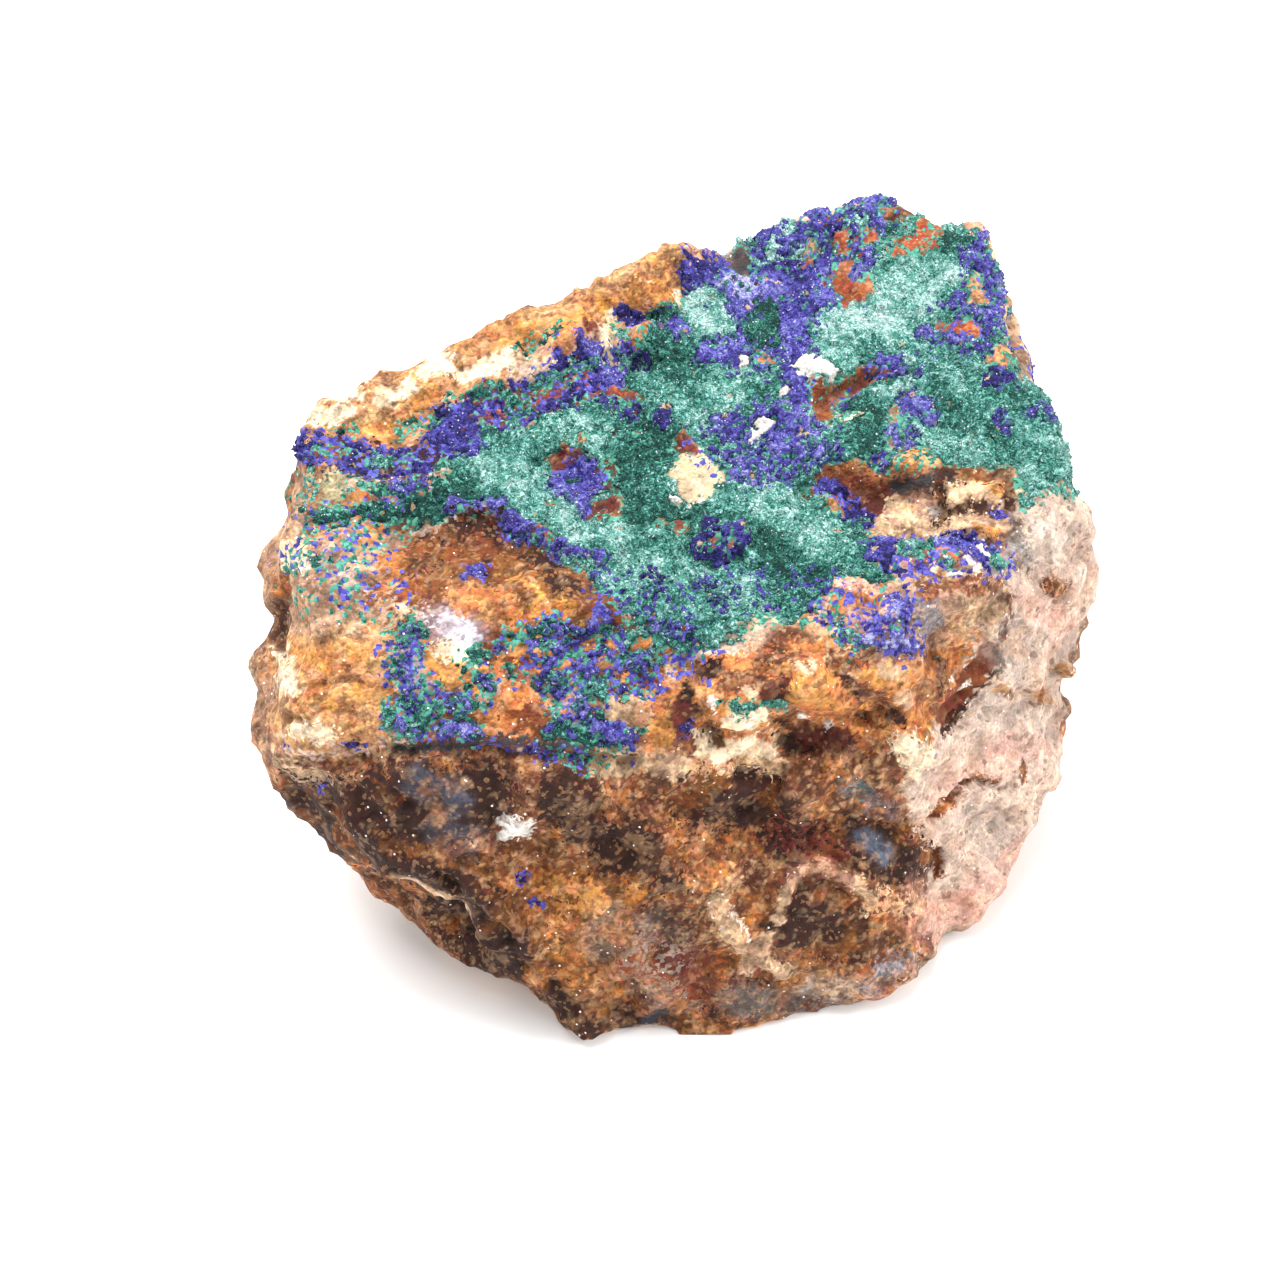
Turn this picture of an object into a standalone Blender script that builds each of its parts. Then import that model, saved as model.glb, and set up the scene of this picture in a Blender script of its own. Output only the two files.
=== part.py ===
# Azurite specimen: a broken block of iron-stained rock whose top and front slope
# carry an intergrown crust of azurite and malachite. Rock and crust grew as one
# piece, so the object is one solid. Metres, +Z up. The specimen rests on its flat
# underside at z = 0, and the origin is the bottom centre of its box.

import math

import bmesh
import bpy
from mathutils import Matrix, Vector, noise

MM = 0.001

SPECIMEN = "azurite_specimen"

# The stock block, before it is split along the fractures below
BLOCK_WIDTH = 180 * MM
BLOCK_DEPTH = 180 * MM
BLOCK_HEIGHT = 160 * MM

# Fractures that bound the rock: bearing of the outward normal in degrees (0 is the
# front, 90 the right), its tilt above the horizon in degrees, and the distance of
# the face from the origin in mm
FRACTURES = {
    "crust top": (0, 84, 59.8),
    "front slope": (-3, 56, 60.4),
    "front break": (13, 22, 48.9),
    "front left break": (-4, 17.5, 51.6),
    "left undercut": (-38, -14, 47.8),
    "right break": (45, 14.5, 54.1),
    "right shoulder": (97, 24, 74.6),
    "right side": (108, -10, 49.8),
    "right heel": (66, -33, 43.2),
    "back right": (117, 2, 65.7),
    "back": (168, -6, 51.2),
    "back left": (206, -5, 31.6),
    "left side": (278, 20, 68.5),
    "left back": (248, 4, 56.1),
    "left foot": (262, -32, 27.4),
    "back foot": (200, -30, 22.5),
    "right toe": (30, -20, 49.8),
    "left toe": (-30, -48, 33.6),
    "underside": (0, -90, 0.7),
}

# Faces that carry the mineral crust, which is smoother than the broken rock
CRUST_FACES = ("crust top", "front slope")
CRUST_DEPTH = 2.5

# Knobs (height above 0) and hollows (below 0) on the faces, in mm: the two ends of
# each one's axis, the radius that it fades out at, and its height
RELIEF = {
    "violet pit": ((-14, 2, 60), (-9, -3, 60), 8, -2.0),
    "ochre lump": ((-6, 34, 64), (-1, 33, 64), 5, 2.6),
    "back knob": ((-4, 25, 63), (-3, 25, 63), 5, 2.4),
    "back left knob": ((-17, 25, 63), (-13, 25, 63), 5, 1.8),
    "back rim": ((-30, 26, 62), (4, 40, 64), 6, 1.4),
    "ochre rim": ((-47, 12, 61), (-25, 22, 62), 6, 1.6),
    "back right rim": ((14, 44, 64), (24, 48, 65), 6, 2.0),
    "rim trough": ((-46, 7, 61), (-22, 18, 62), 5, -1.0),
    "right recess": ((24, -2, 60), (42, -7, 59), 9, -3.6),
    "recess block": ((38, -2, 59), (44, -5, 59), 5, 1.8),
    "recess lip": ((28, -13, 59), (44, -12, 58), 4.5, 1.2),
    "blue blob": ((5, -10, 59), (9, -10, 59), 4.5, 1.6),
    "brown hollow": ((-35, -9, 59), (-16, -13, 59), 7, -1.3),
    "olive hollow": ((-47, 0, 60), (-47, 0, 60), 5, -1.2),
    "maroon hollow": ((24, 15, 62), (32, 17, 62), 6, -2.0),
    "calcite lump": ((20, 19, 62), (22, 20, 62), 4, 1.2),
    "shoulder step in": ((54, 24, 46), (50, 40, 50), 9, -2.6),
    "shoulder step out": ((57, 10, 56), (58, 16, 54), 7, 1.6),
    "slope undercut": ((-54, -33, 47), (-12, -38, 46), 3.2, -1.7),
    "front ledge": ((-33, -42, 30), (-20, -46, 20), 5, 2.4),
    "under ledge": ((-34, -43, 22), (-22, -48, 12), 6, -2.6),
    "dark hollow": ((14, -39, 31), (30, -36, 27), 9, -2.8),
    "pale arch": ((16, -41, 21), (28, -39, 22), 4.5, 1.6),
    "orange lump": ((17, -28, 52), (20, -28, 51), 6, 1.6),
    "orange lump right": ((26, -27, 51), (30, -26, 50), 6, 1.8),
    "cream lump": ((8, -31, 50), (12, -31, 48), 6, 1.7),
    "cream lump right": ((33, -30, 42), (34, -29, 37), 6, 1.8),
    "red recess": ((16, -31, 45), (27, -30, 43), 6, -2.2),
    "glossy hollow": ((39, -22, 49), (43, -20, 40), 8, -2.2),
    "corner cavity": ((37, -34, 20), (38, -34, 17), 4.5, -2.6),
    "right crack": ((37, -31, 24), (48, -22, 27), 3.2, -1.4),
    "right knob": ((55, -7, 47), (56, -6, 45), 5, 2.0),
    "right low knob": ((57, -10, 34), (57, -10, 32), 4, 1.0),
    "right side dip": ((57, -14, 26), (59, -4, 24), 8, -1.8),
    "left bulge": ((-55, -30, 44), (-57, -22, 36), 8, 1.0),
    "foot notch": ((3, -53, 4), (4, -53, 0), 4, -2.0),
    "back hollow": ((-6, 44, 40), (10, 48, 32), 12, -3.0),
    "back scar": ((30, 50, 28), (44, 46, 44), 9, -2.4),
    "back left ledge": ((-44, 14, 34), (-24, 28, 30), 7, 2.2),
    "left hollow": ((-58, -6, 38), (-52, 8, 30), 8, -2.2),
    "right heel hollow": ((58, 8, 26), (56, 24, 22), 9, -2.4),
    "underside hollow": ((-8, -18, 0), (18, -6, 0), 12, -2.6),
    "underside hollow left": ((-24, -28, 0), (-22, -12, 0), 8, -2.0),
}

# Chips all over the broken rock: size in mm, how far each leans, how quickly one
# turns into the next, and what gives each chip a lean of its own
CHIP_SIZE = 15.0
CHIP_LEAN = 0.24
SMALL_CHIP_SIZE = 7.5
SMALL_CHIP_LEAN = 0.22
SMALL_CHIP_SHIFT = (40.0, 10.0, 70.0)
CHIP_CRISPNESS = 14.0
CHIP_SHUFFLE = 97.3

# Swells of the rock and of the crust: width and height in mm, then how quickly the
# finer swells fade, how much finer each is than the last, and how many there are
ROCK_SWELL_SIZE = 17.0
ROCK_SWELL = 1.1
CRUST_SWELL_SIZE = 11.0
CRUST_SWELL = 0.75
SWELL_FADE = 0.9
SWELL_STEP = 2.1
SWELL_COUNT = 3

# Mesh: spacing of the first surface in mm, and triangles in the finished solid
SURFACE_STEP = 1.7
TRIANGLES = 7600

ROCK_COLOUR = (0.30, 0.17, 0.09, 1.0)
ROCK_ROUGHNESS = 0.78
ROCK_METALLIC = 0.0


def clear_scene():
    for thing in list(bpy.data.objects):
        bpy.data.objects.remove(thing, do_unlink=True)


def new_collection(name):
    collection = bpy.data.collections.new(name)
    bpy.context.scene.collection.children.link(collection)
    return collection


def outward(bearing, tilt):
    # Unit normal from a compass bearing, where 0 is the front (-Y), and a tilt
    bearing = math.radians(bearing)
    tilt = math.radians(tilt)
    level = math.cos(tilt)
    return Vector((math.sin(bearing) * level, -math.cos(bearing) * level, math.sin(tilt)))


def rock_material():
    material = bpy.data.materials.new("iron_stained_rock_with_crust")
    material.use_nodes = True
    shader = material.node_tree.nodes["Principled BSDF"]
    shader.inputs["Base Color"].default_value = ROCK_COLOUR
    shader.inputs["Roughness"].default_value = ROCK_ROUGHNESS
    shader.inputs["Metallic"].default_value = ROCK_METALLIC
    return material


def split_block():
    # The stock block, split along one fracture after another
    mesh = bpy.data.meshes.new("split_block")
    block = bmesh.new()
    stock = Matrix.Diagonal((BLOCK_WIDTH, BLOCK_DEPTH, BLOCK_HEIGHT, 1.0))
    bmesh.ops.create_cube(block, size=1.0, matrix=stock)
    for bearing, tilt, distance in FRACTURES.values():
        normal = outward(bearing, tilt)
        parts = block.verts[:] + block.edges[:] + block.faces[:]
        bmesh.ops.bisect_plane(
            block,
            geom=parts,
            plane_co=normal * distance * MM,
            plane_no=normal,
            clear_outer=True,
        )
        open_edges = [edge for edge in block.edges if edge.is_boundary]
        bmesh.ops.holes_fill(block, edges=open_edges)
    bmesh.ops.recalc_face_normals(block, faces=block.faces[:])
    block.to_mesh(mesh)
    block.free()
    return mesh


def even_surface(mesh, step):
    # The same body as small even faces, which the relief can then move
    helper = bpy.data.objects.new("even_surface", mesh)
    bpy.context.scene.collection.objects.link(helper)
    remesh = helper.modifiers.new("even faces", "REMESH")
    remesh.mode = "VOXEL"
    remesh.voxel_size = step * MM
    graph = bpy.context.evaluated_depsgraph_get()
    even = bpy.data.meshes.new_from_object(helper.evaluated_get(graph))
    bpy.data.objects.remove(helper, do_unlink=True)
    return even


def crust_share(point):
    # 1 on the faces that carry the crust, 0 on the broken rock, point in mm
    depths = {}
    for name, (bearing, tilt, distance) in FRACTURES.items():
        depths[name] = distance - outward(bearing, tilt).dot(point)
    crust = min(depths[name] for name in CRUST_FACES)
    rock = min(depth for name, depth in depths.items() if name not in CRUST_FACES)
    share = (rock - crust) / CRUST_DEPTH
    return min(1.0, max(0.0, share))


def chipped(point, size, lean):
    # Flat chips that each lean their own way, with quick turns between them
    distances, centres = noise.voronoi(point / size)
    total = 0.0
    height = 0.0
    for distance, centre in zip(distances, centres):
        weight = math.exp(-CHIP_CRISPNESS * (distance - distances[0]))
        slope = noise.cell_vector(centre * CHIP_SHUFFLE) * 2.0 - Vector((1.0, 1.0, 1.0))
        height += weight * lean * size * slope.dot(point / size - centre)
        total += weight
    return height / total


def swell(point, size, height):
    return height * noise.fractal(point / size, SWELL_FADE, SWELL_STEP, SWELL_COUNT)


def relief_height(point):
    # Sum of the named knobs and hollows at a point, in mm
    height = 0.0
    for start, end, radius, rise in RELIEF.values():
        start = Vector(start)
        axis = Vector(end) - start
        along = 0.0
        if axis.length > 0.0:
            along = (point - start).dot(axis) / axis.length_squared
        nearest = start + axis * min(1.0, max(0.0, along))
        reach = (point - nearest).length / radius
        if reach < 1.0:
            height += rise * (1.0 - reach * reach) ** 2
    return height


def uneven_height(point):
    # Chips and swells of the broken rock, softer swells on the crust, in mm
    share = crust_share(point)
    chips = chipped(point, CHIP_SIZE, CHIP_LEAN)
    chips += chipped(point + Vector(SMALL_CHIP_SHIFT), SMALL_CHIP_SIZE, SMALL_CHIP_LEAN)
    rock = chips + swell(point, ROCK_SWELL_SIZE, ROCK_SWELL)
    crust = swell(point, CRUST_SWELL_SIZE, CRUST_SWELL)
    return (1.0 - share) * rock + share * crust


def weather(mesh):
    # Moves each point along its normal by the relief and the unevenness
    rock = bmesh.new()
    rock.from_mesh(mesh)
    rock.normal_update()
    moves = []
    for vertex in rock.verts:
        point = vertex.co / MM
        height = relief_height(point) + uneven_height(point)
        moves.append(vertex.normal * height * MM)
    for vertex, move in zip(rock.verts, moves):
        vertex.co += move
    rock.to_mesh(mesh)
    rock.free()


def add_floor_cutter(collection):
    # Takes off all that lies below the face that the specimen rests on
    mesh = bpy.data.meshes.new("rest_cutter")
    cutter = bmesh.new()
    size = Matrix.Diagonal((BLOCK_WIDTH, BLOCK_DEPTH, BLOCK_HEIGHT, 1.0))
    place = Matrix.Translation((0.0, 0.0, -BLOCK_HEIGHT / 2))
    bmesh.ops.create_cube(cutter, size=1.0, matrix=place @ size)
    cutter.to_mesh(mesh)
    cutter.free()
    floor = bpy.data.objects.new("rest_cutter", mesh)
    floor.hide_render = True
    floor.display_type = "WIRE"
    collection.objects.link(floor)
    return floor


def centre_over_origin(specimen):
    # Puts the middle of the finished solid's box over the origin
    graph = bpy.context.evaluated_depsgraph_get()
    finished = specimen.evaluated_get(graph)
    corners = [finished.matrix_world @ Vector(corner) for corner in finished.bound_box]
    for axis in (0, 1):
        low = min(corner[axis] for corner in corners)
        high = max(corner[axis] for corner in corners)
        specimen.location[axis] -= (low + high) / 2
    print("moved to centre, mm:", [round(value / MM, 3) for value in specimen.location])


def build_specimen(collection, floor):
    mesh = even_surface(split_block(), SURFACE_STEP)
    weather(mesh)
    mesh.name = SPECIMEN
    mesh.materials.append(rock_material())
    specimen = bpy.data.objects.new(SPECIMEN, mesh)
    collection.objects.link(specimen)

    thin = specimen.modifiers.new("fewer faces", "DECIMATE")
    thin.decimate_type = "COLLAPSE"
    thin.ratio = TRIANGLES / sum(len(face.vertices) - 2 for face in mesh.polygons)
    thin.use_collapse_triangulate = True

    rest = specimen.modifiers.new("flat to rest on", "BOOLEAN")
    rest.operation = "DIFFERENCE"
    rest.solver = "EXACT"
    rest.object = floor

    specimen.modifiers.new("triangles", "TRIANGULATE")
    centre_over_origin(specimen)
    return specimen


clear_scene()
specimen_parts = new_collection(SPECIMEN + "_parts")
cutters = new_collection("cutters")
build_specimen(specimen_parts, add_floor_cutter(cutters))
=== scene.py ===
import math
import time

import bmesh
import bpy
import numpy as np
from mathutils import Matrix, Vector


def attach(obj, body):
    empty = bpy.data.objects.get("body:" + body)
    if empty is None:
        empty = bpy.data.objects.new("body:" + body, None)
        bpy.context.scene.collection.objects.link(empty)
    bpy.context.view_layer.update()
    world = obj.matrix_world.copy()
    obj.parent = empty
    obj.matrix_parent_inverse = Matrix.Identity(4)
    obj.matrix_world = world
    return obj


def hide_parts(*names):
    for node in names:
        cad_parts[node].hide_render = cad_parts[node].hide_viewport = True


# An azurite specimen: a broken, iron-stained rock whose top and front slope carry
# a crust of azurite and malachite. Sizes are in millimetres, and meshes in metres.

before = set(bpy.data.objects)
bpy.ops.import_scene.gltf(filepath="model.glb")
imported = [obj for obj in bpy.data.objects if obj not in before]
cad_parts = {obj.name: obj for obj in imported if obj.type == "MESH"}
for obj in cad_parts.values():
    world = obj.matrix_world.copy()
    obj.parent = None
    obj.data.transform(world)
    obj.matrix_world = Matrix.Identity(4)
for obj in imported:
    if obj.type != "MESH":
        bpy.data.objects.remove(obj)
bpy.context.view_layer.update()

mm = 0.001
started = time.time()


def report(stage):
    print(f"{time.time() - started:6.1f} s  {stage}")


# The camera stands where the photo was taken from

photoView = {
    "pixels": 1280,                     # the photo is square
    "lens": 70.0,
    "sensor": 36.0,
    "above": 50.0,                      # degrees above the horizon
    "place": (-5.6, -238.9, 310.6),
    "nearest": 10.0,                    # nothing closer is drawn
}


def viewAxes():
    above = math.radians(photoView["above"])
    right = Vector((1.0, 0.0, 0.0))
    up = Vector((0.0, math.sin(above), math.cos(above)))
    ahead = Vector((0.0, math.cos(above), -math.sin(above)))
    return right, up, ahead


def addCamera():
    data = bpy.data.cameras.new("photo_camera")
    data.lens = photoView["lens"]
    data.sensor_width = photoView["sensor"]
    data.clip_start = photoView["nearest"] * mm
    camera = bpy.data.objects.new("photo_camera", data)
    camera.location = Vector(photoView["place"]) * mm
    camera.rotation_euler = (math.radians(90 - photoView["above"]), 0.0, 0.0)
    bpy.context.scene.collection.objects.link(camera)
    bpy.context.scene.camera = camera


# Any other numbers here give another rock of the same kind

seeds = {
    "grains": 21, "grainFray": 25, "fray": 131, "seenWarp": 31, "hiddenWarp": 71,
    "veins": 211, "veinGrains": 31, "swell": 61, "grit": 67,
    "lumps": 90, "crustChips": 97, "broadTone": 77, "grainTone": 79,
}

# Repeatable noise over arrays of points, with sizes in mm

cellMix = {
    # large odd numbers that scatter the bits of a cell's place and of the seed
    "axes": (0x8DA6B343, 0xD8163841, 0xCB1AB31F),
    "seed": (0x9E3779B9, 0x85EBCA6B),
    "rounds": ((15, 0x2C1B3C6D), (12, 0x297A2D39), (15, 1)),
}


def cellValues(cells, seed):
    # One number from -1 to 1 for each cell of a grid, the same each run
    whole = cells.astype(np.int64).astype(np.uint32)
    mixed = np.zeros(len(cells), dtype=np.uint32)
    for axis, odd in enumerate(cellMix["axes"]):
        mixed ^= whole[:, axis] * np.uint32(odd)
    times, shift = cellMix["seed"]
    mixed += np.uint32(seed * times + shift & 0xFFFFFFFF)
    for shift, odd in cellMix["rounds"]:
        mixed ^= mixed >> np.uint32(shift)
        mixed *= np.uint32(odd)
    return mixed / 2.0 ** 31 - 1.0


def turned(points):
    # The points in a tilted frame, so that no noise lines up with the axes
    tilt = np.array(((0.80, 0.48, 0.36), (-0.60, 0.64, 0.48), (0.0, -0.60, 0.80)))
    return points @ tilt


def softNoise(points, size, seed):
    # Smooth noise from -1 to 1 with bumps about as wide as size
    spread = turned(points) / size
    low = np.floor(spread)
    part = spread - low
    part = part * part * (3.0 - 2.0 * part)
    total = np.zeros(len(points))
    for corner in range(8):
        step = np.array((corner & 1, corner >> 1 & 1, corner >> 2 & 1))
        share = np.prod(np.where(step == 1, part, 1.0 - part), axis=1)
        total += share * cellValues(low + step, seed)
    return total


noiseLayers = {
    "finer": 0.47,                      # each layer's size, as a share of the one before
    "lower": 0.5,                       # and its height
    "seedStep": 17,
    "shift": 31.7,
    "gain": 1.6,                        # brings the mean of the layers back to about -1 to 1
}


def layeredNoise(points, size, layers, seed):
    # Bumps of one size with ever finer ones on top, from about -1 to 1
    total = np.zeros(len(points))
    height = 1.0
    full = 0.0
    for layer in range(layers):
        total += height * softNoise(points, size, seed + layer * noiseLayers["seedStep"])
        full += height
        points = turned(points) + noiseLayers["shift"]
        size *= noiseLayers["finer"]
        height *= noiseLayers["lower"]
    return total / full * noiseLayers["gain"]


chipCrispness = 15.0                    # how sharp the edge between two chips is


def chips(points, size, lean, seed):
    # Flat chips that each lean their own way; a height in mm
    spread = points / size
    home = np.floor(spread)
    weightSum = np.zeros(len(points))
    heightSum = np.zeros(len(points))
    for index in range(27):
        cell = home + np.array((index % 3 - 1, index // 3 % 3 - 1, index // 9 - 1))
        away = np.empty_like(spread)
        slope = np.empty_like(spread)
        for axis in range(3):
            away[:, axis] = cell[:, axis] + 0.5 + 0.5 * cellValues(cell, seed + axis)
            slope[:, axis] = cellValues(cell, seed + 3 + axis)
        away = spread - away
        weight = np.exp(-chipCrispness * np.linalg.norm(away, axis=1))
        weightSum += weight
        heightSum += weight * np.einsum("ij,ij->i", away, slope)
    return lean * size * heightSum / weightSum


grainDrift = 0.38                       # how far a grain's middle strays from its cell's, in cells


def grainHomes(points, size, seed):
    # The grain that each point is in, for angular grains about as wide as size
    spread = turned(points) / size
    low = np.floor(spread - 0.5)
    nearest = np.full(len(points), np.inf)
    homes = np.zeros_like(spread)
    for corner in range(8):
        cell = low + np.array((corner & 1, corner >> 1 & 1, corner >> 2 & 1))
        away = np.zeros(len(points))
        for axis in range(3):
            middle = cell[:, axis] + 0.5 + grainDrift * cellValues(cell, seed + axis)
            away += (spread[:, axis] - middle) ** 2
        closer = away < nearest
        nearest[closer] = away[closer]
        homes[closer] = cell[closer]
    return homes


def ramp(values, low, high):
    # 0 below low and 1 above high, with a soft start and end
    part = np.clip((values - low) / (high - low), 0.0, 1.0)
    return part * part * (3.0 - 2.0 * part)


# Mesh helpers

def pointsOf(mesh):
    flat = np.empty(len(mesh.vertices) * 3)
    mesh.vertices.foreach_get("co", flat)
    return flat.reshape(-1, 3) / mm


def normalsOf(mesh):
    flat = np.empty(len(mesh.vertices) * 3)
    mesh.vertex_normals.foreach_get("vector", flat)
    return flat.reshape(-1, 3)


def movePoints(mesh, points):
    mesh.vertices.foreach_set("co", (points * mm).ravel())
    mesh.update()


def addObject(name, mesh):
    thing = bpy.data.objects.new(name, mesh)
    bpy.context.scene.collection.objects.link(thing)
    return thing


def smoothShade(mesh):
    mesh.polygons.foreach_set("use_smooth", np.ones(len(mesh.polygons), dtype=bool))


def storeNumber(mesh, name, values):
    layer = mesh.attributes.new(name, "FLOAT", "POINT")
    layer.data.foreach_set("value", values.astype(np.float32))


def storeColour(mesh, name, colours):
    layer = mesh.attributes.new(name, "FLOAT_COLOR", "POINT")
    full = np.ones((len(colours), 4), dtype=np.float32)
    full[:, :3] = colours
    layer.data.foreach_set("color", full.ravel())


# What each mineral is: the crust that it belongs to with its tone there, or a
# tint of the bare rock

mineralTints = {
    # a crust, and its tone from dark to pale
    "navy": ("azurite", 0.08), "indigo": ("azurite", 0.16), "violet": ("azurite", 0.4),
    "lilac": ("azurite", 0.9), "forest": ("malachite", 0.05), "green": ("malachite", 0.4),
    "mint": ("malachite", 0.7), "pale mint": ("malachite", 0.85), "deep green": ("malachite", 0.2),
    "sage": ("malachite", 0.5), "calcite": ("calcite", 1.0),
    # bare rock: its tint, and how much its veins and stains vary
    "beige": ("rock", (214, 190, 156), 0.12), "ochre": ("rock", (190, 138, 92), 0.8),
    "golden": ("rock", (206, 140, 74), 0.6), "cream": ("rock", (246, 224, 190), 0.4),
    "umber": ("rock", (122, 74, 48), 0.9), "brown": ("rock", (152, 94, 58), 0.7),
    "maroon": ("rock", (100, 44, 36), 0.3), "rust": ("rock", (150, 72, 42), 0.5),
    "rose": ("rock", (206, 180, 163), 0.25), "tan": ("rock", (208, 172, 138), 0.6),
    "dun": ("rock", (156, 120, 96), 0.6), "peach": ("rock", (220, 180, 144), 0.3),
    "orange": ("rock", (196, 122, 68), 0.7), "salmon": ("rock", (226, 166, 144), 0.3),
    "slate": ("rock", (120, 114, 116), 0.6), "sienna": ("rock", (110, 58, 28), 0.35),
    "dark umber": ("rock", (48, 26, 20), 0.45), "taupe": ("rock", (176, 140, 114), 0.6),
    "amber": ("rock", (122, 74, 36), 0.7), "haze": ("rock", (140, 134, 140), 0.7),
    "charcoal": ("rock", (58, 56, 60), 0.05), "olive": ("rock", (146, 138, 104), 0.6),
    "teal": ("rock", (70, 116, 124), 0.6), "glossy brown": ("rock", (118, 58, 34), 0.15),
    "white": ("rock", (246, 242, 234), 0.2), "mauve": ("rock", (232, 224, 236), 0.3),
    # a thin dust that lets what is below show through
    "lilac dust": ("dust", (226, 220, 240)), "blue dust": ("dust", (98, 110, 128)),
    "grey dust": ("dust", (176, 166, 156)), "pink dust": ("dust", (226, 158, 138)),
}

# Stains and veins within every rock tint: size in mm, where the noise starts and is
# whole, the tint, and its strength

rockVeins = {
    "warm stain": (4.6, 0.1, 0.45, (204, 122, 54), 0.65),
    "dark stain": (3.4, 0.1, 0.4, (70, 36, 24), 0.75),
    "pale vein": (2.8, 0.34, 0.6, (222, 170, 124), 0.42),
    "small dark": (1.3, 0.15, 0.42, (58, 32, 24), 0.6),
    "small pale": (1.1, 0.34, 0.54, (236, 192, 148), 0.36),
}

# Regions of the photo, painted one over the other: the mineral, how much of the
# region it covers, and the outline in photo pixels

regions = {
    "front break": ("umber", 1.0, (
        250, 770, 300, 760, 392, 742, 470, 752, 560, 752, 640, 745, 700, 690, 800, 660,
        900, 650, 960, 640, 945, 700, 905, 790, 915, 850, 930, 940, 880, 1010, 800, 1050,
        690, 1070, 610, 1070, 530, 1020, 440, 960, 350, 890, 270, 820)),
    "right break": ("rose", 1.0, (
        985, 570, 1020, 510, 1070, 470, 1120, 540, 1100, 700, 1080, 820, 1020, 900, 940, 970,
        925, 930, 915, 850, 905, 790, 945, 690)),
    "left side": ("dun", 1.0, (
        300, 400, 306, 500, 290, 570, 280, 640, 275, 740, 300, 770, 250, 800, 225, 700, 240, 560)),
    "ochre ridge": ("ochre", 1.0, (
        290, 450, 296, 400, 340, 370, 400, 350, 470, 325, 540, 290, 600, 275, 660, 245,
        710, 255, 690, 300, 640, 325, 585, 320, 518, 352, 510, 375, 449, 409, 384, 452, 349, 444)),
    "green field": ("green", 1.0, (
        440, 470, 462, 425, 500, 400, 560, 375, 640, 345, 690, 310, 745, 235, 830, 195,
        900, 200, 995, 225, 1015, 290, 1012, 350, 1065, 400, 1085, 490, 1010, 505, 940, 475,
        880, 520, 870, 570, 820, 600, 760, 625, 700, 650, 650, 640, 620, 600, 600, 570,
        540, 540, 500, 515, 430, 520)),
    "dark band": ("forest", 0.9, (
        352, 478, 400, 480, 450, 470, 520, 480, 500, 512, 450, 522, 380, 530, 300, 528, 305, 512)),
    "left swirl": ("green", 0.5, (305, 462, 360, 465, 365, 505, 325, 512, 300, 500)),
    "left slope": ("taupe", 1.0, (
        290, 530, 380, 530, 440, 535, 400, 560, 392, 640, 270, 650, 272, 590)),
    "brown wedge": ("sienna", 1.0, (
        474, 508, 452, 524, 410, 556, 392, 600, 440, 608, 520, 628, 585, 612, 570, 574, 530, 548)),
    "ochre facet": ("ochre", 1.0, (
        272, 640, 330, 628, 390, 630, 402, 680, 396, 738, 340, 748, 290, 752, 272, 720)),
    "lower mix": ("sienna", 0.95, (
        392, 620, 480, 610, 600, 600, 680, 640, 645, 700, 640, 752, 560, 755, 470, 750, 396, 742)),
    "ledge rim": ("orange", 1.0, (
        640, 690, 700, 655, 800, 645, 880, 640, 940, 600, 1000, 575, 990, 610, 945, 690,
        925, 740, 870, 750, 780, 745, 700, 745, 640, 770)),
    "back azurite": ("violet", 0.95, (
        690, 266, 740, 225, 830, 195, 890, 200, 880, 240, 868, 300, 826, 312, 815, 345,
        800, 420, 782, 460, 764, 440, 786, 360, 760, 372, 700, 368, 720, 330, 730, 300, 700, 292)),
    "right azurite": ("violet", 0.92, (
        950, 246, 985, 230, 1012, 290, 1014, 345, 1002, 352, 950, 350, 912, 338, 935, 306, 958, 285)),
    "middle azurite": ("violet", 0.7, (
        700, 415, 760, 400, 800, 395, 830, 440, 850, 470, 800, 480, 760, 485, 715, 460)),
    "pale green": ("mint", 0.8, (
        880, 252, 945, 250, 960, 275, 935, 305, 890, 340, 830, 350, 815, 330, 850, 295)),
    "recess": ("brown", 0.9, (
        824, 470, 900, 466, 1010, 478, 1014, 545, 960, 545, 900, 545, 880, 525, 830, 505)),
    "recess step": ("violet", 0.9, (
        866, 548, 900, 536, 950, 530, 1014, 540, 1012, 572, 960, 572, 920, 580, 880, 580)),
    "step foot": ("taupe", 0.9, (
        826, 580, 880, 582, 1000, 574, 1006, 600, 972, 636, 920, 656, 850, 656, 830, 620)),
}

# Smaller marks of the photo, painted over the regions: the mineral, how much it
# covers, the half width in mm, and spots or strokes in photo pixels

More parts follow.
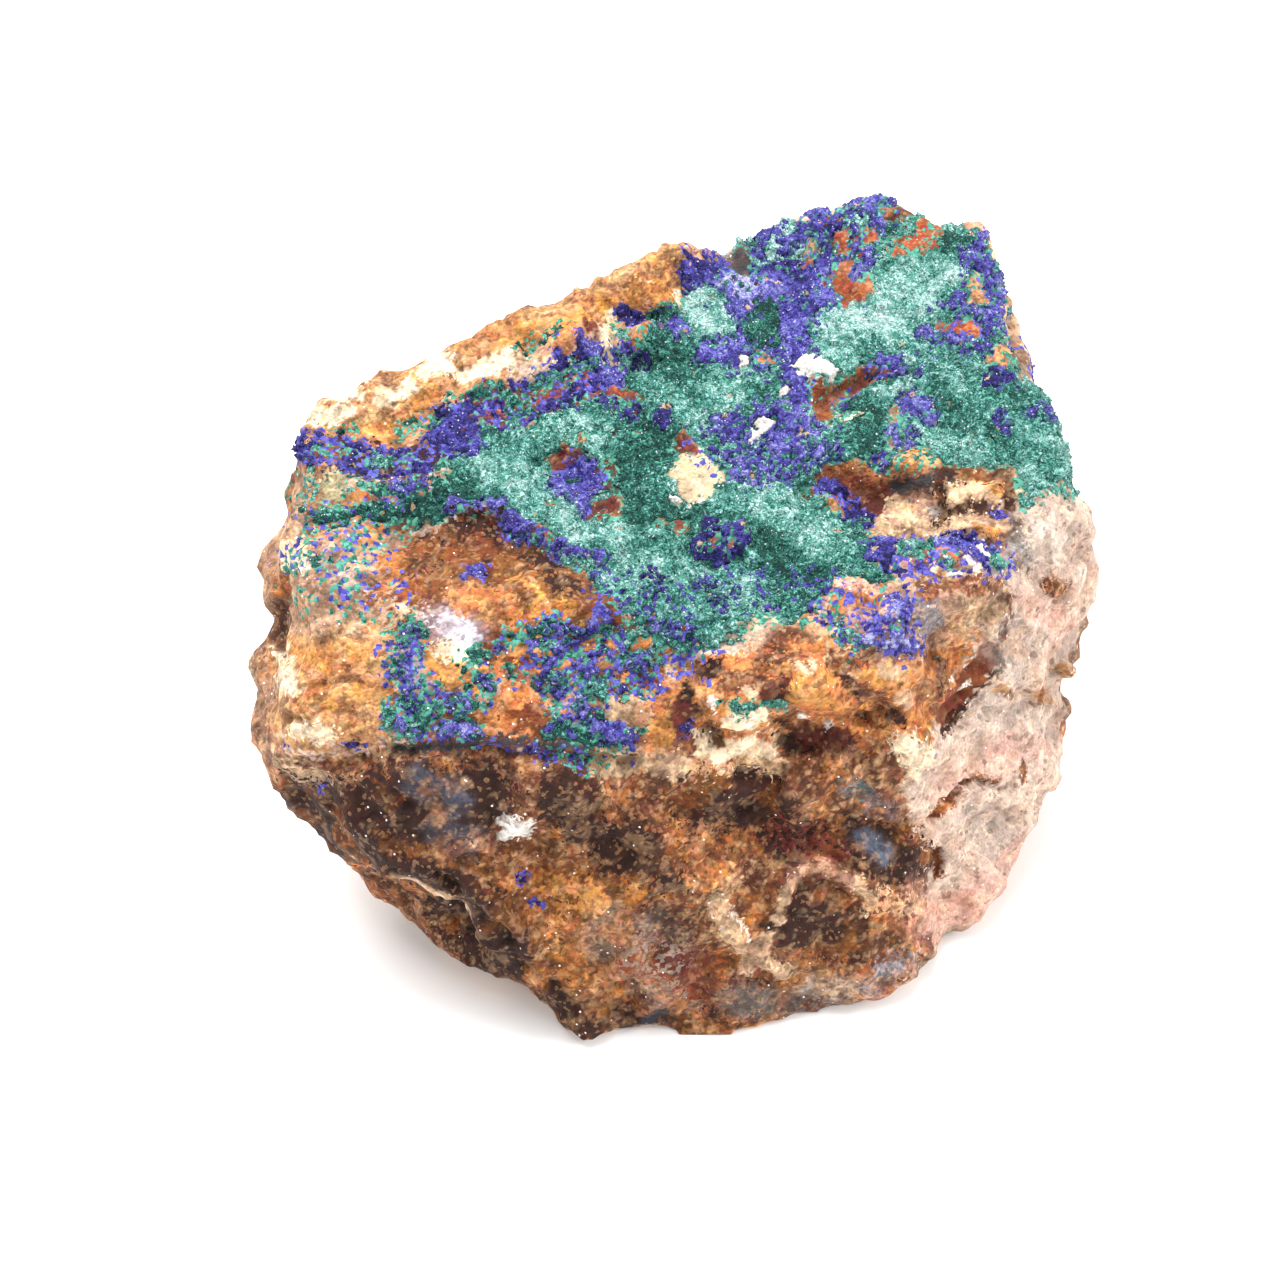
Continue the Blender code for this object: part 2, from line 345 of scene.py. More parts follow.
marks = {
    "middle dark": ("deep green", 0.9, 3.8, (590, 392, 640, 410, 660, 440), (560, 430, 556, 445),
                    (620, 470, 640, 440)),
    "middle light": ("sage", 0.8, 2.8, (490, 470, 540, 500), (660, 400, 720, 388), (560, 420, 600, 440)),
    "lower dark": ("deep green", 0.8, 2.2, (640, 510, 700, 516), (740, 520, 790, 560),
                   (800, 570, 830, 566), (640, 636, 690, 630), (850, 400, 880, 440)),
    "lower light": ("sage", 0.8, 2.8, (520, 520, 560, 530), (610, 530, 650, 545, 700, 580),
                    (780, 500, 830, 540), (990, 430, 1040, 440), (730, 380, 700, 400),
                    (620, 580, 680, 600)),
    "lower mint": ("mint", 0.7, 1.6, (600, 500, 620, 540), (650, 560, 680, 570), (570, 520, 590, 530)),
    # cream on the ridge: pale grains, partly a painted highlight
    "ridge cream": ("cream", 1.0, 1.3, (312, 420, 345, 414), (380, 398, 412, 388), (470, 372, 512, 356),
                    (330, 395, 352, 388), (430, 372, 452, 362)),
    "ridge gold": ("golden", 1.0, 1.2, (366, 434, 396, 430), (420, 402, 436, 394), (560, 330, 585, 318),
                   (602, 300, 625, 290), (500, 340, 530, 326)),
    "ridge pits": ("brown", 1.0, 0.6, (350, 432, 372, 446), (395, 415, 410, 410), (440, 392), (470, 388),
                   (330, 402), (536, 338), (480, 352)),
    "ridge flecks": ("forest", 0.5, 1.2, (336, 437, 352, 434), (402, 432, 424, 420),
                     (455, 400, 500, 388), (520, 345, 560, 330)),
    "ochre lump": ("golden", 1.0, 3.2, (640, 288, 664, 300), (650, 310)),
    "lump pits": ("brown", 1.0, 0.5, (648, 300, 654, 304), (636, 310), (662, 282), (646, 280)),
    # cream on the lump's knobs: pale grains, partly a painted highlight
    "lump cream": ("cream", 1.0, 0.5, (664, 268, 674, 264), (678, 290, 682, 300), (650, 290)),
    "ochre crest": ("ochre", 1.0, 1.8, (610, 285, 640, 275, 662, 262, 700, 262)),
    "left blue ground": ("dark umber", 1.0, 2.6,
                         (306, 452, 340, 454, 378, 466, 420, 462, 448, 440, 458, 424)),
    "left blue band": ("indigo", 0.72, 2.2,
                       (306, 450, 340, 452, 378, 464, 420, 462, 446, 440, 458, 420)),
    "left blue specks": ("dark umber", 0.8, 0.55, (392, 462), (412, 452), (430, 446), (360, 462),
                         (448, 428), (328, 456), (342, 452), (384, 470), (402, 468), (424, 458),
                         (440, 440)),
    "left blue knot": ("navy", 1.0, 2.6, (446, 428, 464, 440)),
    "left green flecks": ("deep green", 0.6, 1.0, (320, 450, 350, 452), (372, 462, 408, 464),
                          (420, 430, 438, 420)),
    "upper blue ground": ("maroon", 1.0, 2.8, (490, 404, 530, 398, 570, 386, 606, 370)),
    "upper blue": ("indigo", 0.7, 3.0, (486, 404, 530, 398, 570, 386), (560, 374, 610, 368)),
    "upper blue specks": ("maroon", 0.75, 0.7, (500, 398, 510, 396), (524, 404), (545, 392), (570, 380),
                          (590, 372)),
    "upper green": ("deep green", 0.7, 1.4, (540, 382, 570, 372), (480, 392, 500, 388),
                    (590, 362, 600, 360), (512, 408, 524, 402)),
    "upper blue rust": ("rust", 0.6, 0.9, (480, 416, 500, 410), (540, 400, 556, 392)),
    "dark band blue": ("violet", 1.0, 1.2, (398, 492, 420, 486), (396, 506)),
    "dark band rust": ("rust", 1.0, 0.7, (398, 500), (422, 492), (366, 500)),
    "swirl brown": ("brown", 1.0, 1.3, (346, 500, 356, 496)),
    "swirl olive": ("olive", 0.7, 2.0, (332, 480, 338, 492)),
    "slope orange": ("orange", 1.0, 1.3, (366, 538, 376, 534)),
    "edge cream": ("cream", 1.0, 1.6, (296, 545, 298, 562)),
    "slope blue": ("violet", 0.3, 2.8, (310, 528, 390, 522), (300, 556, 380, 552), (340, 590, 400, 590)),
    "slope green": ("deep green", 0.2, 2.6, (310, 545, 400, 536), (300, 570, 350, 572),
                    (300, 600, 380, 605)),
    "slope brown": ("brown", 0.7, 1.6, (390, 560, 420, 545), (372, 600, 400, 575)),
    "slope white": ("lilac dust", 0.15, 1.8, (310, 556, 350, 580)),
    "wedge edge": ("violet", 1.0, 1.2, (451, 506, 497, 507), (500, 514, 530, 530, 562, 541, 600, 562),
                   (505, 530, 545, 548, 570, 560)),
    "wedge edge rust": ("rust", 1.0, 0.8, (545, 532, 552, 536)),
    "wedge edge green": ("green", 1.0, 0.8, (560, 556, 600, 570)),
    "wedge gold": ("amber", 0.9, 3.2, (520, 560, 545, 586), (500, 600, 556, 606)),
    "wedge crumbs": ("dark umber", 0.7, 0.5, (470, 546, 476, 550), (500, 540), (488, 566), (514, 586),
                     (440, 574), (530, 570), (462, 590)),
    "wedge glow": ("golden", 0.35, 1.2, (522, 578, 540, 590), (480, 600, 496, 604)),
    "wedge orange": ("amber", 0.8, 2.0, (516, 550, 550, 580), (430, 590, 450, 586)),
    "wedge dark": ("dark umber", 0.8, 2.0, (452, 536, 476, 518, 490, 530), (412, 560, 430, 546),
                   (540, 560, 566, 578)),
    "wedge blue": ("violet", 0.8, 0.9, (466, 578, 482, 574)),
    "pit floor": ("maroon", 1.0, 2.3, (584, 468, 600, 500), (566, 462, 572, 470)),
    "violet pit": ("violet", 1.0, 2.3, (570, 474, 590, 472), (576, 486, 582, 492)),
    "maroon pit": ("maroon", 1.0, 1.1, (560, 460), (608, 466), (598, 498, 606, 508)),
    "green dots": ("umber", 1.0, 0.6, (555, 499), (586, 439)),
    "blue dots": ("navy", 1.0, 0.8, (664, 423, 662, 411), (690, 440)),
    "maroon dot": ("maroon", 1.0, 1.0, (684, 440, 690, 452), (679, 525), (661, 519)),
    "beige patch": ("beige", 1.0, 2.5, (688, 476, 706, 478)),
    "beige tail": ("calcite", 0.7, 1.1, (668, 492, 684, 498), (690, 497, 702, 496)),
    "blue speckle": ("violet", 0.55, 3.4, (715, 440, 750, 460)),
    "blue speckle white": ("calcite", 0.4, 1.8, (740, 440, 760, 430)),
    "blue blob": ("navy", 1.0, 1.9, (704, 545, 736, 538), (716, 532, 724, 548)),
    "blue blob rust": ("rust", 1.0, 0.7, (716, 538), (730, 545)),
    "lower blue": ("violet", 0.36, 3.0, (600, 590, 680, 610), (740, 590, 830, 590),
                   (640, 640, 700, 660)),
    "lower navy": ("indigo", 0.5, 1.6, (650, 575, 660, 585), (700, 585, 720, 600), (590, 640, 620, 660)),
    "back knobs": ("golden", 1.0, 1.2, (572, 330, 584, 334), (560, 345, 570, 340)),
    "back strand": ("cream", 1.0, 0.8, (616, 312, 612, 328, 606, 345, 604, 358)),
    "knob rim": ("navy", 1.0, 1.3, (632, 352, 643, 360, 656, 352), (560, 352, 576, 350)),
    "knob brown": ("brown", 1.0, 1.4, (642, 342, 648, 336), (566, 346)),
    "blue v": ("navy", 1.0, 0.9, (622, 312, 632, 320, 646, 326), (664, 324, 678, 314)),
    "v green": ("green", 1.0, 0.9, (654, 322, 668, 314, 680, 306), (616, 326, 622, 336)),
    "knob blue": ("violet", 0.9, 1.8, (592, 350, 612, 376), (680, 345)),
    "knob navy": ("navy", 0.9, 1.1, (610, 402, 632, 408), (662, 412, 664, 422)),
    "knob maroon": ("maroon", 1.0, 0.95, (616, 394), (630, 397), (588, 332), (596, 328)),
    "knob cream": ("cream", 1.0, 0.8, (606, 342, 608, 360), (680, 296), (612, 330)),
    "mint patch": ("pale mint", 1.0, 2.9, (704, 302, 712, 320)),
    "dark green": ("deep green", 0.85, 3.0, (664, 348, 694, 350), (668, 362)),
    "back violet": ("violet", 1.0, 1.7, (740, 312, 744, 330), (706, 353, 732, 354),
                    (668, 326, 680, 328)),
    "light blue": ("lilac", 0.9, 1.6, (716, 276, 745, 286)),
    "strong blue": ("indigo", 0.95, 1.9, (694, 274, 706, 268), (800, 225, 860, 232),
                    (770, 262, 800, 268)),
    "black spot": ("charcoal", 1.0, 1.8, (742, 254, 744, 262)),
    "rim peach": ("salmon", 1.0, 0.8, (745, 232, 775, 222, 804, 219), (831, 205, 867, 200),
                  (956, 214, 986, 224), (998, 245, 1002, 267)),
    "rim cream": ("cream", 1.0, 0.5, (745, 228, 804, 216), (845, 200, 867, 198), (996, 236, 1000, 260)),
    "back green flecks": ("mint", 0.6, 1.2, (780, 235, 792, 230), (846, 221, 860, 228),
                          (775, 250, 800, 252), (730, 240, 745, 240)),
    "rust patches": ("rust", 1.0, 1.15, (839, 234, 841, 248), (860, 239, 874, 236), (848, 262),
                     (838, 268, 842, 282, 856, 288, 868, 286), (842, 278, 852, 288), (842, 296),
                     (944, 322, 974, 330), (806, 262)),
    "rust wedge": ("rust", 1.0, 1.5, (840, 272, 845, 284, 857, 288)),
    "olive fleck": ("olive", 1.0, 0.9, (808, 250, 814, 244)),
    "dark stripe": ("umber", 1.0, 0.7, (881, 219, 924, 208)),
    "rust speckle": ("rust", 0.62, 1.6, (896, 246, 925, 226, 950, 222), (908, 250, 935, 240)),
    "teal shade": ("forest", 0.9, 1.4, (948, 244, 962, 240)),
    "right ochre": ("ochre", 1.0, 1.1, (975, 280), (974, 298, 980, 300), (998, 346, 1000, 350)),
    "right edge": ("brown", 1.0, 0.9, (1007, 282, 1008, 300), (996, 358, 1002, 366)),
    "right edge tan": ("tan", 1.0, 0.7, (1010, 308, 1010, 332)),
    "right green": ("green", 0.9, 1.1, (940, 316, 952, 312), (998, 334)),
    "blue knob": ("navy", 1.0, 1.3, (994, 376, 1010, 380)),
    "white dots": ("calcite", 1.0, 0.75, (792, 285, 802, 286), (788, 338), (741, 361), (783, 390),
                   (766, 422)),
    "dark cluster": ("forest", 0.8, 1.8, (750, 326, 764, 310), (772, 318, 784, 312),
                     (762, 334, 776, 330)),
    "violet band": ("violet", 1.0, 1.6, (789, 285, 792, 350, 798, 390, 790, 425, 784, 450)),
    "red specks": ("rust", 0.7, 1.1, (756, 354, 772, 358)),
    "calcite patch": ("calcite", 1.0, 2.1, (808, 366, 822, 374), (824, 378, 818, 396)),
    "maroon hollow": ("maroon", 0.95, 1.9, (812, 388, 822, 406), (834, 392, 872, 376), (890, 388)),
    "hollow blue": ("violet", 0.6, 1.8, (880, 368, 915, 372), (848, 400)),
    "hollow white": ("calcite", 0.22, 1.6, (872, 358, 905, 362), (880, 376)),
    "hollow mint": ("mint", 1.0, 1.2, (884, 394, 918, 392), (828, 356, 850, 360)),
    "azurite fleck": ("violet", 0.9, 1.9, (908, 406, 924, 412)),
    "fleck brown": ("brown", 1.0, 0.9, (896, 416)),
    "rusty blue": ("ochre", 0.55, 2.2, (892, 448, 920, 458)),
    "rusty blue edge": ("violet", 0.6, 1.4, (890, 438, 915, 440), (880, 462)),
    "faint beige": ("cream", 0.5, 1.3, (848, 420, 856, 418)),
    "far flecks": ("violet", 0.6, 1.2, (1000, 420, 1012, 426), (1036, 412, 1050, 420)),
    # the recess's maroon is partly a painted shadow under the crust's edge, and its charcoal is a painted
    # shadow
    "recess maroon shadow": ("maroon", 1.0, 2.4, (832, 488, 850, 484), (856, 500, 880, 496)),
    "recess painted shadow": ("charcoal", 0.75, 1.8, (904, 486, 934, 488)),
    "recess blue": ("navy", 0.8, 1.4, (828, 490, 845, 496), (850, 510, 868, 520)),
    "recess grey": ("slate", 0.8, 1.9, (914, 506, 936, 512)),
    "recess gold": ("orange", 1.0, 1.2, (880, 534, 892, 532)),
    "recess tan": ("tan", 1.0, 2.0, (880, 528, 925, 522), (895, 512, 905, 516)),
    "recess block": ("tan", 1.0, 3.0, (954, 494, 1000, 490), (954, 528, 1000, 530)),
    "block gold": ("golden", 0.8, 1.1, (986, 482, 1006, 492), (948, 534, 996, 536)),
    "recess peach": ("peach", 0.8, 1.2, (958, 492, 985, 490), (950, 528, 966, 534)),
    "recess dark": ("dark umber", 1.0, 0.9, (941, 476, 1010, 474, 1013, 540, 990, 545),
                    (948, 512, 975, 508, 1008, 514), (941, 480, 944, 520)),
    "block blue": ("navy", 1.0, 0.7, (1002, 512, 1006, 520)),
    "step band": ("violet", 0.9, 1.6, (874, 560, 905, 550, 950, 548, 1004, 558)),
    "step blue": ("navy", 0.6, 1.2, (890, 568, 930, 562, 1000, 568)),
    "step mint": ("green", 0.9, 1.0, (900, 552, 926, 548), (850, 572, 886, 580), (996, 556, 1002, 566),
                  (950, 560)),
    "step lilac": ("lilac", 0.8, 0.9, (938, 542, 950, 540), (900, 600, 912, 604)),
    "step specks": ("cream", 1.0, 0.5, (950, 556), (932, 566), (968, 560), (905, 562), (975, 568)),
    "step earth": ("brown", 1.0, 0.5, (956, 562), (920, 556), (940, 570), (964, 548)),
    "foot green": ("sage", 0.6, 1.8, (794, 612, 830, 600), (842, 630, 850, 646)),
    "step speckle": ("violet", 0.62, 3.2, (858, 632, 900, 640), (872, 616, 910, 612),
                     (836, 604, 850, 612)),
    "step teal": ("sage", 0.6, 0.9, (866, 650, 872, 654), (842, 620), (880, 600), (900, 630)),
    "step sky": ("lilac", 0.8, 0.9, (890, 648, 906, 644), (872, 640), (896, 612)),
    "step white": ("calcite", 1.0, 0.6, (948, 574, 958, 574), (983, 547, 989, 552)),
    "step grey": ("slate", 0.9, 1.8, (1018, 552, 1022, 562), (926, 604, 940, 636)),
    "step dark": ("umber", 0.8, 1.3, (924, 588, 996, 582)),
    "step peach": ("salmon", 0.6, 0.9, (836, 584, 858, 590)),
    "step brown": ("brown", 0.5, 1.4, (828, 602, 880, 600), (846, 616, 862, 622)),
    "mauve glow": ("lilac dust", 0.35, 3.2, (440, 628, 462, 634)),
    "mauve patch": ("mauve", 0.9, 1.9, (446, 630, 464, 634)),
    "mauve cream": ("orange", 1.0, 2.2, (504, 606, 460, 600)),
    "lower gold": ("golden", 1.0, 1.7, (520, 646, 552, 650), (548, 660, 556, 652)),
    "lower teal": ("green", 0.55, 3.4, (402, 640, 410, 720), (455, 680, 490, 690), (560, 640, 640, 650),
                   (560, 690, 620, 690), (440, 712, 470, 724), (560, 740, 600, 748)),
    "lower azurite": ("violet", 0.46, 3.4, (400, 650, 412, 712), (450, 690, 480, 715),
                      (545, 640, 610, 650), (545, 680, 600, 720), (620, 660, 640, 680),
                      (545, 742, 620, 742)),
    "lower pale": ("lilac dust", 0.3, 2.4, (404, 660, 420, 690), (470, 684, 500, 700),
                   (560, 700, 600, 720)),
    "glow block": ("golden", 0.95, 2.2, (440, 660, 460, 676)),
    "glow top": ("cream", 0.7, 1.4, (440, 650, 464, 654)),
    "lower strip": ("violet", 0.55, 1.1, (436, 738, 500, 744, 600, 740)),
    "lower strip teal": ("deep green", 0.5, 1.1, (430, 728, 480, 730, 540, 734)),
    "lower knit": ("violet", 0.45, 1.6, (480, 664, 490, 690), (552, 672, 550, 700)),
    "lower knit blue": ("violet", 0.6, 1.6, (510, 676, 548, 690), (520, 726, 552, 722),
                        (498, 646, 514, 640)),
    "lower knit green": ("deep green", 0.55, 1.4, (500, 668, 530, 678), (548, 716, 556, 730),
                         (508, 640, 530, 634), (556, 700, 562, 690)),
    "lower knit teal": ("green", 0.4, 1.6, (484, 650, 500, 684), (556, 680, 560, 720)),
    "lower clumps": ("violet", 0.9, 0.9, (592, 628, 608, 616), (404, 664, 408, 680),
                     (545, 706, 556, 714), (584, 702, 594, 710), (440, 732, 500, 734),
                     (480, 676, 488, 686), (655, 626, 690, 630)),
    "lower blue mix": ("violet", 0.6, 2.4, (558, 690, 600, 704), (560, 724, 596, 726),
                       (556, 668, 600, 668)),
    "lower teal mix": ("deep green", 0.5, 2.0, (470, 660, 484, 700), (560, 740, 600, 742),
                       (600, 690, 612, 716)),
    "lower knob": ("indigo", 1.0, 2.1, (612, 732, 622, 730)),
    "knob green": ("green", 1.0, 0.9, (634, 722, 642, 728), (600, 748, 618, 750)),
    "lower earth": ("sienna", 0.95, 2.2, (508, 700, 530, 712), (504, 722, 526, 728)),
    "lower orange": ("orange", 1.0, 1.4, (508, 696, 526, 692), (480, 718, 505, 728)),
    "mix crumbs": ("golden", 1.0, 0.6, (536, 612, 548, 608), (566, 606), (580, 624),
                   (612, 644, 620, 640), (520, 662), (604, 660), (574, 684), (628, 674), (590, 650),
                   (484, 668)),
    "orange chunks": ("orange", 1.0, 0.7, (570, 662), (497, 660, 502, 676), (477, 692), (567, 699),
                      (548, 701), (563, 714), (520, 738, 528, 737), (540, 668), (640, 640), (600, 640),
                      (598, 700)),
    "tan block": ("tan", 1.0, 1.8, (620, 706, 642, 714)),
    # painted shadow: a charcoal line under the overhanging edge of the crust's slope
    "undercut shadow line": ("charcoal", 0.85, 0.6, (392, 751, 430, 748, 474, 746, 526, 742),
                      (540, 745, 590, 749)),
    "facet gold": ("golden", 0.9, 1.8, (300, 660, 360, 650), (340, 700, 380, 690)),
    "facet cream": ("cream", 0.9, 1.2, (282, 650, 290, 690), (300, 730, 330, 735)),
    "facet pits": ("brown", 1.0, 0.6, (310, 680), (350, 720), (370, 668), (300, 705)),
    "facet blue": ("navy", 0.8, 0.5, (350, 744, 360, 742), (284, 746)),
    "rim gold": ("golden", 1.0, 1.9, (798, 690, 824, 684), (872, 680, 892, 676), (662, 724, 660, 750)),
    "rim pale": ("cream", 1.0, 1.7, (736, 718, 760, 714), (904, 744, 922, 764), (700, 746, 716, 752),
                 (726, 750, 764, 750)),
    "knob peach": ("peach", 0.9, 1.0, (834, 656, 846, 655), (884, 668, 896, 672), (852, 676),
                   (906, 700, 912, 704), (770, 736), (800, 668, 812, 664), (744, 690, 752, 694)),
    "rim gaps": ("dark umber", 0.9, 0.8, (846, 672, 862, 700), (864, 660, 872, 652),
                 (780, 700, 784, 680), (892, 716, 906, 722), (772, 716, 784, 726), (862, 716, 880, 724)),
    "rim dark": ("dark umber", 1.0, 1.3, (686, 690, 688, 745), (780, 742, 850, 746),
                 (700, 672, 716, 668), (714, 724, 716, 736)),
    "rim maroon": ("maroon", 0.9, 1.4, (682, 706, 682, 744), (800, 738, 846, 740), (766, 690, 780, 684)),
    "rim earth": ("umber", 0.9, 1.4, (730, 684, 752, 680), (840, 660, 860, 664), (860, 690, 880, 700),
                  (770, 660, 800, 656)),
    "rim thread": ("green", 1.0, 0.3, (717, 698, 740, 704, 765, 698, 789, 702)),
    "rim dot": ("navy", 1.0, 0.9, (689, 727),),
    "rim white": ("white", 1.0, 0.6, (714, 700), (800, 720), (830, 728)),
    # partly painted shadow: the downward-facing lower left of the front is darkened
    "front left": ("dark umber", 0.95, 5.0, (290, 800, 420, 850), (440, 860, 500, 960),
                   (380, 800, 480, 800)),
    "front left tan": ("tan", 0.7, 1.5, (286, 766, 320, 778)),
    "front band": ("tan", 0.8, 1.8, (606, 766, 660, 762, 700, 776, 770, 768)),
    "front deep": ("dark umber", 0.9, 3.4, (560, 800, 600, 830), (640, 880, 660, 900),
                   (560, 1000, 640, 1040)),
    "front haze": ("blue dust", 0.32, 2.4, (425, 786, 450, 794), (440, 830, 478, 850)),
    "front lilac": ("lilac dust", 0.4, 1.4, (522, 880, 530, 890)),
    "front white": ("white", 1.0, 1.6, (504, 832, 522, 826)),
    "front gold": ("amber", 0.9, 4.6, (530, 872, 600, 912), (640, 880, 660, 880), (600, 950, 560, 940)),
    "front glow": ("golden", 0.35, 2.4, (560, 890, 590, 900)),
    "front orange": ("orange", 0.8, 2.2, (690, 860, 712, 874), (640, 850), (556, 930, 580, 942)),
    "front moss": ("grey dust", 0.3, 4.0, (612, 940, 676, 986), (664, 950)),
    "front dark": ("dark umber", 0.88, 4.0, (752, 806, 800, 850), (575, 806, 632, 850),
                   (850, 830, 905, 860), (620, 850, 660, 870), (700, 800, 760, 800),
                   (790, 920, 850, 930)),
    "front maroon": ("maroon", 0.6, 3.0, (780, 830, 830, 850), (640, 960, 700, 975)),
    "front teal": ("teal", 0.7, 1.4, (846, 786, 870, 796)),
    "front azure": ("blue dust", 0.45, 1.2, (868, 800, 890, 810), (866, 832, 880, 842)),
    "front teal blue": ("blue dust", 0.6, 1.3, (866, 834, 884, 850)),
    "front blue": ("navy", 0.8, 0.7, (321, 791), (521, 880), (535, 903), (646, 1022)),
    "arch": ("tan", 1.0, 0.8, (777, 915, 785, 884, 817, 866, 850, 880, 868, 900)),
    "arch glow": ("pink dust", 0.35, 1.2, (790, 876, 817, 866, 850, 882)),
    "arch edge": ("tan", 0.8, 1.6, (872, 902, 915, 906), (760, 940, 748, 968)),
    "arch white": ("white", 0.9, 1.4, (722, 902, 736, 932)),
    "arch foot": ("tan", 1.0, 1.4, (720, 900, 740, 950, 785, 969)),
    "foot sparkle": ("dark umber", 0.7, 3.0, (718, 1000, 796, 1004)),
    "foot dust": ("grey dust", 0.25, 2.4, (730, 1000, 790, 1010)),
    "foot pale": ("grey dust", 0.6, 2.8, (820, 990, 860, 996)),
    "foot blue": ("haze", 0.8, 1.8, (872, 986, 905, 965)),
    "foot dark": ("charcoal", 0.9, 1.2, (645, 1024, 660, 1020)),
    "gloss": ("glossy brown", 1.0, 1.9, (988, 652, 964, 688, 948, 714)),
    "gloss edge": ("dark umber", 1.0, 0.5, (1000, 640, 1002, 660, 976, 700, 944, 732),
                   (938, 690, 942, 660)),
    # painted highlights: white glints on the glossy facet
    "gloss painted glints": ("white", 1.0, 0.3, (958, 668, 966, 666), (972, 655), (962, 690, 970, 686),
                    (952, 680)),
    "tan facet": ("tan", 0.9, 1.7, (966, 626, 994, 604)),
    "facet edge": ("umber", 1.0, 0.45, (1008, 592, 1004, 616, 1000, 640)),
    "right knob": ("amber", 1.0, 1.2, (1056, 582, 1062, 587)),
    "right yellow": ("ochre", 0.9, 1.0, (1044, 700, 1050, 704), (1066, 672, 1072, 676),
                     (995, 690, 1008, 700)),
    "right grey": ("grey dust", 0.4, 3.6, (1002, 640, 1022, 660), (975, 820, 1010, 860),
                   (1030, 540, 1050, 535), (1000, 720, 1030, 730)),
    "right pink": ("pink dust", 0.35, 1.8, (1030, 600, 1060, 620), (1000, 744, 1040, 746),
                   (1015, 850, 1025, 862), (914, 890, 928, 906), (941, 800, 960, 775, 1000, 765)),
    "right crack": ("umber", 1.0, 0.35, (930, 813, 957, 791, 975, 782, 995, 780),
                    (1020, 762, 1023, 778)),
    "right cavity": ("sienna", 1.0, 0.6, (935, 856, 938, 872)),
    "right foot": ("pink dust", 0.35, 3.0, (980, 900, 1020, 860), (930, 930, 960, 910)),
    "left crevice": ("umber", 1.0, 0.9, (285, 590, 276, 620, 280, 645)),
    "left pale": ("dun", 0.6, 2.0, (262, 640, 258, 700)),
}

# Marks on the sides that the photo doesn't show: the mineral, how much it covers,
# the half width, and spots or strokes in mm

hiddenMarks = {
    "back ochre": ("ochre", 1.0, 9.0, (-46, 26, 50, -14, 40, 56), (10, 46, 50)),
    "back cream": ("cream", 0.8, 4.0, (-36, 30, 44, -24, 34, 46), (20, 48, 44)),
    "back umber": ("umber", 0.9, 12.0, (-20, 44, 16, 24, 50, 18)),
    "back rust": ("rust", 0.8, 6.0, (4, 46, 32, 30, 48, 36)),
    "back blue": ("violet", 0.5, 4.0, (30, 47, 54, 44, 42, 52)),
    "back green": ("green", 0.5, 3.5, (12, 45, 52, 24, 47, 50)),
    "right azurite rim": ("violet", 0.6, 4.0, (50, 30, 52, 54, 10, 52)),
    "right tan": ("tan", 0.9, 9.0, (58, 10, 28, 52, 34, 24)),
    "right umber": ("umber", 0.7, 6.0, (50, 36, 12, 58, 4, 12)),
    "left tan": ("tan", 1.0, 12.0, (-58, -4, 30, -56, 20, 30)),
    "left umber": ("umber", 0.8, 7.0, (-52, 22, 12, -58, 6, 14)),
    "left ochre": ("ochre", 0.8, 5.0, (-56, -14, 44, -54, 8, 48)),
}

# Small knobs, ledges and cracks of the photo: the height, the half width in mm,
# and spots or strokes in photo pixels

